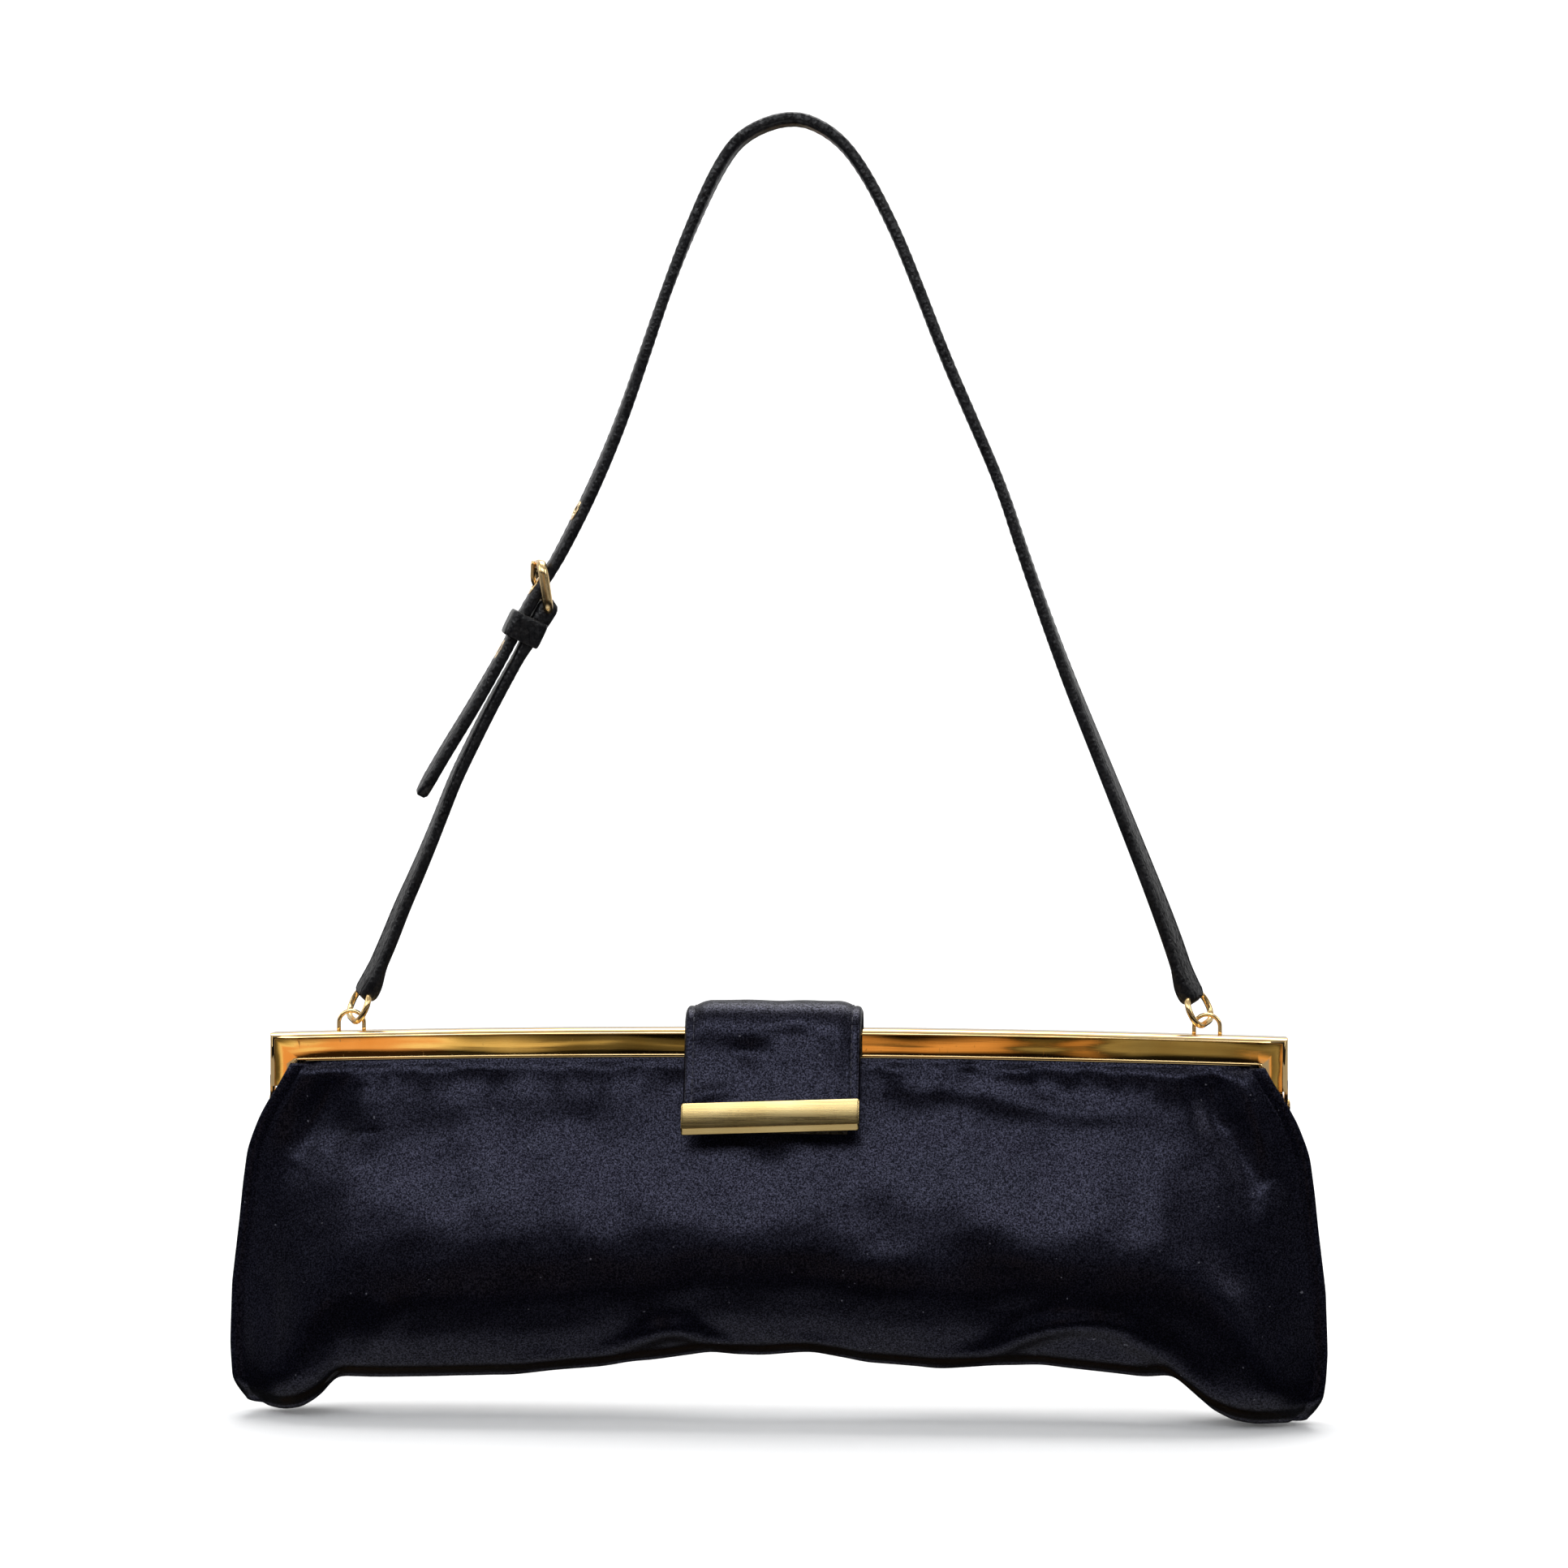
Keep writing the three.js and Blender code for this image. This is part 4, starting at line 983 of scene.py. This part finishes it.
def stitch_rows(name, line, skip_start, skip_end):
    """Two rows of stitches on both faces of a strap."""
    line = resample(line, 400)
    length = run_length(line)
    keep = (length > skip_start) & (length < length[-1] - skip_end)
    along = tangents(line)
    out = unit(np.cross(along, np.tile([0.0, 1.0, 0.0], (len(line), 1))))
    pieces = []
    for face in (-1, 1):
        for row in (-2.55, 2.55):
            run = line + out * face * 1.36 + np.array([0, row, 0])
            label = f"{name}_{face}_{row}"
            pieces.append(
                stitch_run(label, [run[keep]], 2.5, 0.21, LEATHER_THREAD, face * out[keep], warp=twist)
            )
    return join_objects(name, pieces)


def link(name, centre, up, half_up, half_across, corner, radius):
    """A closed rounded rectangle of wire standing in the plane of Y and `up`, rolled with the strap."""
    outline = rounded_box(half_across, half_up, corner, 9)
    path = np.asarray(centre) + outline[:, 0:1] * np.array([0, 1, 0]) + outline[:, 1:2] * np.asarray(up)
    normal = np.cross([0, 1, 0], up)
    return wire(name, path, radius, WIRE_GOLD, closed=True, side=normal, count=18, warp=twist)


def end_link(name, side):
    """A ring between a frame loop and the end of the strap."""
    bottom = np.array([side * RING_BOTTOM_POINT[0], STRAP_Y, RING_BOTTOM_POINT[1] + STRAP_BASE])
    top = np.array([side * RING_TOP_POINT[0], STRAP_Y, RING_TOP_POINT[1] + STRAP_BASE])
    centre = (top + bottom) / 2 + RING_SLACK * np.array([side, 1, 1])
    return link(name, centre, unit(top - bottom), 4.1, 5.4, 3.7, RING_WIRE)


def eyelet(name, x, z, proud):
    """A pressed metal eyelet through the strap, with a rolled flange on each face."""
    line = raised(resample(LONG_POINTS, 900))
    nearest = np.argmin(np.hypot(line[:, 0] - x, line[:, 2] - z))
    along = tangents(line)[nearest]
    out = np.cross([0, 1, 0], along)
    face = STRAP_THICKNESS / 2
    flange = [(1.4, 0.6), (1.55, 0.9), (1.9, 1), (2.4, 0.95), (2.75, 0.7), (2.9, 0.3), (2.75, -0.3)]
    washer = [(2.1, -0.15), (2.1, 0.0), (1.9, 0.03), (1.5, 0.0)]
    profile = [(radius, face + proud * height) for radius, height in flange]
    profile += [(1.8, 0.9), (1.8, -0.9)]
    profile += [(radius, -face - height) for radius, height in washer]
    profile += [profile[0]]
    obj = lathe(name, profile, line[nearest], out, WIRE_GOLD)
    obj.data.vertices.foreach_set("co", (twist(vertex_table(obj)) * MM).ravel())
    return obj


def vertex_table(obj):
    table = np.empty(len(obj.data.vertices) * 3)
    obj.data.vertices.foreach_get("co", table)
    return table.reshape(-1, 3) / MM


def prong_path():
    hole = np.array([EYELET_SPOTS[1][0], STRAP_Y, EYELET_SPOTS[1][1]])
    front_bar = BUCKLE_CENTRE + BUCKLE_UP * BUCKLE_HALF
    rest = BUCKLE_WIRE + 0.55
    outward = unit([-0.86, 0, 0.51])
    points = [
        HEEL + BUCKLE_UP * 1.7,
        hole - outward * 2.7,
        hole + outward * 2.7,
        front_bar + BUCKLE_OUT * rest,
        front_bar + BUCKLE_OUT * (rest - 0.25) + BUCKLE_UP * 1.2,
    ]
    return resample(points, 26)


def keeper_band(name):
    """A leather loop round both straps, its ends butted at the back."""
    along = unit(KEEPER_DOWN)
    inward = np.cross([0, 1, 0], along)
    half_out, half_wide = 3.9 + KEEPER_WALL, 4.6 + KEEPER_WALL
    outline = rounded_box(half_out, half_wide, 1.5, 6)
    path = KEEPER_CENTRE + outline[:, 0:1] * inward + outline[:, 1:2] * np.array([0, 1, 0])
    long, thin = circle(1, 24).T
    profile = np.column_stack(
        [
            KEEPER_HALF_LENGTH * np.copysign(np.abs(long) ** 0.45, long),
            KEEPER_WALL * np.copysign(np.abs(thin) ** 0.7, thin),
        ]
    )
    points = section_sweep(path, np.tile(along, (len(path), 1)), profile, True)
    faces = tube_faces(len(path), len(profile), True)
    return mesh_object(name, twist(points.reshape(-1, 3)), faces, LEATHER)


def strap_parts():
    ring_right = np.array([RING_TOP_POINT[0], STRAP_Y, RING_TOP_POINT[1] + STRAP_BASE])
    ring_left = ring_right * np.array([-1, 1, 1])
    ring_fold, heel_fold = 2.55, 2.8
    down_right = unit(ring_right - raised(LONG_POINTS[1:2])[0])
    long_line = np.vstack([ring_right + down_right * ring_fold, ring_right, raised(LONG_POINTS)])
    down_left = unit(ring_left - raised(SHORT_POINTS[1:2])[0])
    up_heel = unit(HEEL - raised(SHORT_POINTS[-2:-1])[0])
    short_start = [ring_left + down_left * ring_fold, ring_left]
    short_line = np.vstack(short_start + [raised(SHORT_POINTS[:-1]), HEEL, HEEL + up_heel * heel_fold])
    place(strap_ribbon("leather_long", long_line, ring_fold, 0, 6), "strap", "leather", "strap_long")
    place(strap_ribbon("leather_short", short_line, ring_fold, heel_fold), "strap", "leather", "strap_short")
    place(stitch_rows("stitches_long", long_line, 11, 4), "strap", "leather")
    place(stitch_rows("stitches_short", short_line, 11, 12), "strap", "leather")
    for index, spot in enumerate(EYELET_SPOTS, 1):
        place(eyelet(f"eyelet_{index}", *spot), "strap", "polished_gold", f"strap_eyelet_{index}")
    size = (BUCKLE_HALF, BUCKLE_ACROSS, BUCKLE_CORNER, BUCKLE_WIRE)
    buckle = link("buckle_link", BUCKLE_CENTRE, BUCKLE_UP, *size)
    place(buckle, "strap", "polished_gold", "buckle_frame")
    taper = np.interp(np.arange(26), [0, 23, 25], [0.66, 0.64, 0.45])
    prong = wire("prong_pin", prong_path(), taper, WIRE_GOLD, warp=twist)
    place(prong, "prong", "polished_gold", "buckle_prong")
    place(keeper_band("keeper_band"), "keeper", "leather", "strap_keeper")
    place(end_link("left_link", -1), "left_ring", "polished_gold", "left_ring")
    place(end_link("right_link", 1), "right_ring", "polished_gold", "right_ring")


strap_parts()


# ---------- flap and clasp ----------
FLAP_LINE = [
    (10.3, 86), (9, 93), (7.6, 100), (6.2, 104.6), (3.4, 108.2), (-0.5, 109.4), (-4.8, 108),
    (-7.8, 104), (-9.4, 98), (-11.6, 91), (-14.4, 84), (-16.2, 78.6),
]
FLAP_THICKNESS = 2.4
CLASP_TILT = math.radians(17)
FLAP_MAGNET_OUT = -2.95  # from the middle of the flap's thickness
PANEL_MAGNET = (0, -11.2, 80)
PANEL_TILT = math.radians(20)
MAGNET_RADIUS = 2.9  # small enough for the bar to hide
CLASP_CENTRE_Y, CLASP_CENTRE_Z = -15.4, 81


def flap_piece():
    """The padded flap: it is sewn to the back of the purse, rolls over the frame and ends behind the bar."""
    line = resample(FLAP_LINE, 131)
    along = tangents(line)
    out = np.column_stack([along[:, 1], -along[:, 0]])
    length = run_length(line)
    across = np.linspace(-1, 1, 97)
    rows = []
    grid = []
    for index, (y, z) in enumerate(line):
        crest = math.exp(-(((z - 108.5) / 4.5) ** 2)) if y < 7 else 0
        half = FLAP_HALF - 0.15 + 0.15 * crest
        round_end = math.sqrt(max(0.02, 1 - max(0, 1 - (length[-1] - length[index]) / 1.2) ** 2))
        x = across * half
        edge = (1 - np.abs(across)) * half
        rounded = np.sqrt(np.maximum(0, 1 - np.maximum(0, 1 - edge / 1.1) ** 2))
        stitched = np.exp(-(((edge - 2.2) / 0.45) ** 2))
        puff = 0.75 * smoothstep(2.0, 7.0, edge) + 0.5 * crest * smoothstep(1.6, 5.0, edge)
        puff += 0.22 * noise(x, length[index], 21, 17) * np.minimum(1, edge / 4)
        if y < 2:  # the part in front of the frame, with its folds and dents
            puff += 0.5 * np.exp(-((x + 16) / 7) ** 2 - ((z - 87 - 0.2 * (x + 16)) / 2.0) ** 2)
            puff -= 0.9 * np.exp(-((x + 6.5) / 5) ** 2 - ((z - 97.7) / 3.2) ** 2)
            puff -= 0.8 * np.exp(-((x - 5.4) / 4.5) ** 2 - ((z - 102) / 2.8) ** 2)
        outer = ((FLAP_THICKNESS / 2 - 0.25) * round_end + puff - 0.22 * stitched) * rounded
        inner = -(FLAP_THICKNESS / 2 - 0.1) * round_end * rounded
        droop = -0.5 * crest * np.abs(across) ** 10
        out_y, out_z = out[index]
        front = np.column_stack([x, y + out_y * outer, z + out_z * outer + droop])
        back = np.column_stack([x, y + out_y * inner, z + out_z * inner + droop])
        grid.append(front)
        rows.append(np.vstack([front, back[::-1]]))
    points = np.array(rows).reshape(-1, 3)
    cover = mesh_object("flap_cover", points, tube_faces(len(line), 2 * len(across), False), SATIN)
    return cover, np.array(grid), out


def flap_stitches(grid, out):
    lifts = np.column_stack([np.zeros(len(out)), out])
    pieces = []
    for side in (-1, 1):
        column = np.argmin(np.abs(grid[60, :, 0] - side * (FLAP_HALF - 2.55)))
        run = grid[6:-2, column] + lifts[6:-2] * 0.1
        pieces.append(stitch_run("run", [run], 2.4, 0.19, SATIN_THREAD, lifts[6:-2]))
    return join_objects("flap_stitches", pieces)


def clasp_point(x, up, out):
    """A point by its place on the clasp: across, up the flap, and out from the flap's middle."""
    y = CLASP_CENTRE_Y - out * math.cos(CLASP_TILT) + up * math.sin(CLASP_TILT)
    z = CLASP_CENTRE_Z + out * math.sin(CLASP_TILT) + up * math.cos(CLASP_TILT)
    return x, y, z


def clasp_bar_piece():
    """A brushed bar with a chamfer along its lower edge."""
    half_width, depth = 23.2, 2.4
    slope = math.radians(2.0)
    profile = [
        (-3.6, 0.0), (3.7, 0.0), (3.95, 0.1), (4.05, 0.35), (4.1, 0.8), (4.1, 1.75), (3.98, 2.15),
        (3.65, 2.38), (3.3, 2.4), (-2.55, 2.4), (-2.75, 2.34), (-3.75, 1.3), (-4.02, 0.95), (-4.1, 0.6),
        (-4.05, 0.3), (-3.9, 0.08),
    ]
    points = []
    left_end = [(-1, 0.84), (-0.992, 0.93), (-0.98, 0.985), (-0.965, 1)]
    stations = left_end + [(-share, size) for share, size in reversed(left_end)]
    for share, size in stations:
        for up, out in profile:
            x = share * half_width
            height = up * (0.5 + 0.5 * size) + math.tan(slope) * x
            points.append(clasp_point(x, height, 1.7 + depth / 2 + (out - depth / 2) * size))
    body = mesh_object("clasp_bar_metal", points, tube_faces(len(stations), len(profile), False), BRUSHED)
    return sharp_edges(body, 24)


def flap_and_clasp():
    cover, grid, out = flap_piece()
    stitches = flap_stitches(grid, out)
    for piece in (cover, stitches):
        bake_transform(piece)
    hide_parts("flap_anchor", "flap_tab")
    place(clasp_bar_piece(), "flap", "brushed_gold", "clasp_bar")


def magnet_disc(name, radius, thickness, centre, outward):
    """A chamfered disc with a shallow dish in its outer face."""
    half, chamfer = thickness / 2, 0.18
    profile = [
        (0.05, -half), (radius - chamfer, -half), (radius, chamfer - half), (radius, half - chamfer),
        (radius - chamfer, half), (0.62 * radius, half), (0.55 * radius, half - 0.12), (0.05, half - 0.12),
    ]
    return sharp_edges(lathe(name, profile, centre, outward, STEEL, 40), 30)


def magnets():
    flap_centre = np.array(clasp_point(0, 0, FLAP_MAGNET_OUT))
    inward = np.array([0, math.cos(CLASP_TILT), -math.sin(CLASP_TILT)])
    disc = magnet_disc("flap_magnet_disc", MAGNET_RADIUS, 1.2, flap_centre, inward)
    place(disc, "flap", "steel", "flap_magnet")
    outward = np.array([0, -math.cos(PANEL_TILT), math.sin(PANEL_TILT)])
    disc = magnet_disc("panel_magnet_disc", MAGNET_RADIUS, 0.6, PANEL_MAGNET, outward)
    opens_with_front(disc, "steel", "panel_magnet")


flap_and_clasp()
magnets()
for material_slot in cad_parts["clasp_back_plate"].material_slots:
    material_slot.material = STEEL


# ---------- studio ----------
def card(name, centre, size, aim, strength, color=(1, 1, 1)):
    """A soft rectangular light."""
    light = bpy.data.lights.new(name, "AREA")
    light.shape = "RECTANGLE"
    light.size, light.size_y = size
    light.energy = strength
    light.color = color
    obj = add_object(name, light)
    obj.location = centre
    direction = Vector(aim) - Vector(centre)
    obj.rotation_euler = direction.to_track_quat("-Z", "Y").to_euler()


def backdrop():
    """A pale floor that curves up behind the purse and behind the camera."""
    material, nodes, vector = new_material("backdrop")
    tone = nodes.noise(vector, 3.0, 3.0)
    color = nodes.ramp(tone, [(0.3, (0.9, 0.9, 0.9)), (0.7, (0.93, 0.93, 0.93))])
    nodes.connect(Base_Color=color, Roughness=0.9)
    profile = []
    for step in range(13):
        angle = step / 12 * math.pi / 2
        profile.append((900 + 500 * math.sin(angle), 500 - 500 * math.cos(angle)))
    profile.append((1400, 2600))
    profile = [(-1400 - y, z) for y, z in reversed(profile)] + profile
    points = [(x, y, z - 0.05) for y, z in profile for x in (-6000, 6000)]
    obj = mesh_object("backdrop", points, grid_faces(len(profile), 2), material)
    obj.visible_glossy = False  # the metal and satin mirror the room below instead of a bright floor


# What the metal mirrors in front of it, from left to right: warm wood and dark gaps.
ROOM_STOPS = [
    (0.0, (0.5, 0.5, 0.52)),
    (0.05, (1.2, 0.58, 0.2)),
    (0.19, (1.2, 0.62, 0.24)),
    (0.25, (1.4, 1.15, 0.6)),
    (0.31, (0.9, 0.72, 0.32)),
    (0.345, (0.2, 0.16, 0.07)),
    (0.42, (0.06, 0.05, 0.02)),
    (0.5, (1.1, 0.55, 0.18)),
    (0.62, (0.75, 0.38, 0.12)),
    (0.65, (0.05, 0.04, 0.02)),
    (0.69, (0.45, 0.38, 0.18)),
    (0.8, (0.2, 0.16, 0.07)),
    (0.86, (1.1, 0.6, 0.2)),
    (1.0, (0.5, 0.5, 0.52)),
]


def studio_world():
    """Plain white to the camera. Mirrored, it is white above and behind, dark in front with warm patches."""
    world = bpy.data.worlds.new("studio")
    bpy.context.scene.world = world
    world.use_nodes = True
    nodes = Nodes(world.node_tree)
    direction = nodes.add("ShaderNodeTexCoord").outputs["Generated"]
    parts = nodes.add("ShaderNodeSeparateXYZ", {"Vector": direction}).outputs
    wander = nodes.noise(direction, 9.0, 2.0)
    across = nodes.math("ADD", parts["X"], nodes.range(wander, 0.3, 0.7, -0.03, 0.03))
    room = nodes.ramp(nodes.range(across, -0.25, 0.15, 0.0, 1.0), ROOM_STOPS)
    off_band = nodes.math("ABSOLUTE", nodes.math("ADD", parts["Z"], 0.07))
    band = nodes.range(off_band, 0.05, 0.1, 1.0, 0.03)
    banded = nodes.mix(band, (0, 0, 0, 1), room)
    upward = nodes.range(parts["Z"], 0.3, 0.95, 0.0, 0.75)
    behind = nodes.range(parts["Y"], 0.0, 0.7, 0.0, 1.0)
    above = nodes.range(parts["Z"], -0.12, 0.03, 0.0, 1.0)
    level = nodes.math("MAXIMUM", upward, nodes.math("MULTIPLY", behind, above))
    in_front = nodes.range(parts["Y"], 0.5, 0.0, 0.0, 1.0)
    floor = nodes.math("MULTIPLY", nodes.range(parts["Z"], -0.7, -0.9, 0.0, 0.9), in_front)
    level = nodes.math("MAXIMUM", level, floor)
    seen = nodes.add("ShaderNodeLightPath").outputs["Is Camera Ray"]
    level = nodes.math("MAXIMUM", level, seen)
    mixed = nodes.mix(level, banded, (1, 1, 1, 1))
    background = world.node_tree.nodes["Background"]
    world.node_tree.links.new(mixed, background.inputs["Color"])
    background.inputs["Strength"].default_value = 0.8


def camera():
    data = bpy.data.cameras.new("camera")
    data.sensor_width = 36
    data.lens = 36 * CAMERA_DISTANCE / IMAGE_WIDTH
    obj = add_object("camera", data)
    away = Vector((math.sin(CAMERA_AZIMUTH), -math.cos(CAMERA_AZIMUTH), 0)) * CAMERA_DISTANCE
    obj.location = AIM + away
    obj.rotation_euler = (-away).to_track_quat("-Z", "Y").to_euler()
    bpy.context.scene.camera = obj


backdrop()
bpy.context.scene.view_settings.view_transform = "Standard"
studio_world()
camera()
card("key", (-0.25, -1.15, 0.95), (1.7, 0.5), (0, 0, 0.07), 9, (0.93, 0.96, 1.0))
card("fill", (1.1, -0.5, 0.75), (0.5, 0.5), (0, 0, 0.1), 3)
card("left", (-1.3, -0.2, 0.8), (0.8, 0.8), (0, 0, 0.15), 4)
card("top", (0, 0.5, 1.6), (1.6, 1.2), (0, 0.2, 0), 26)
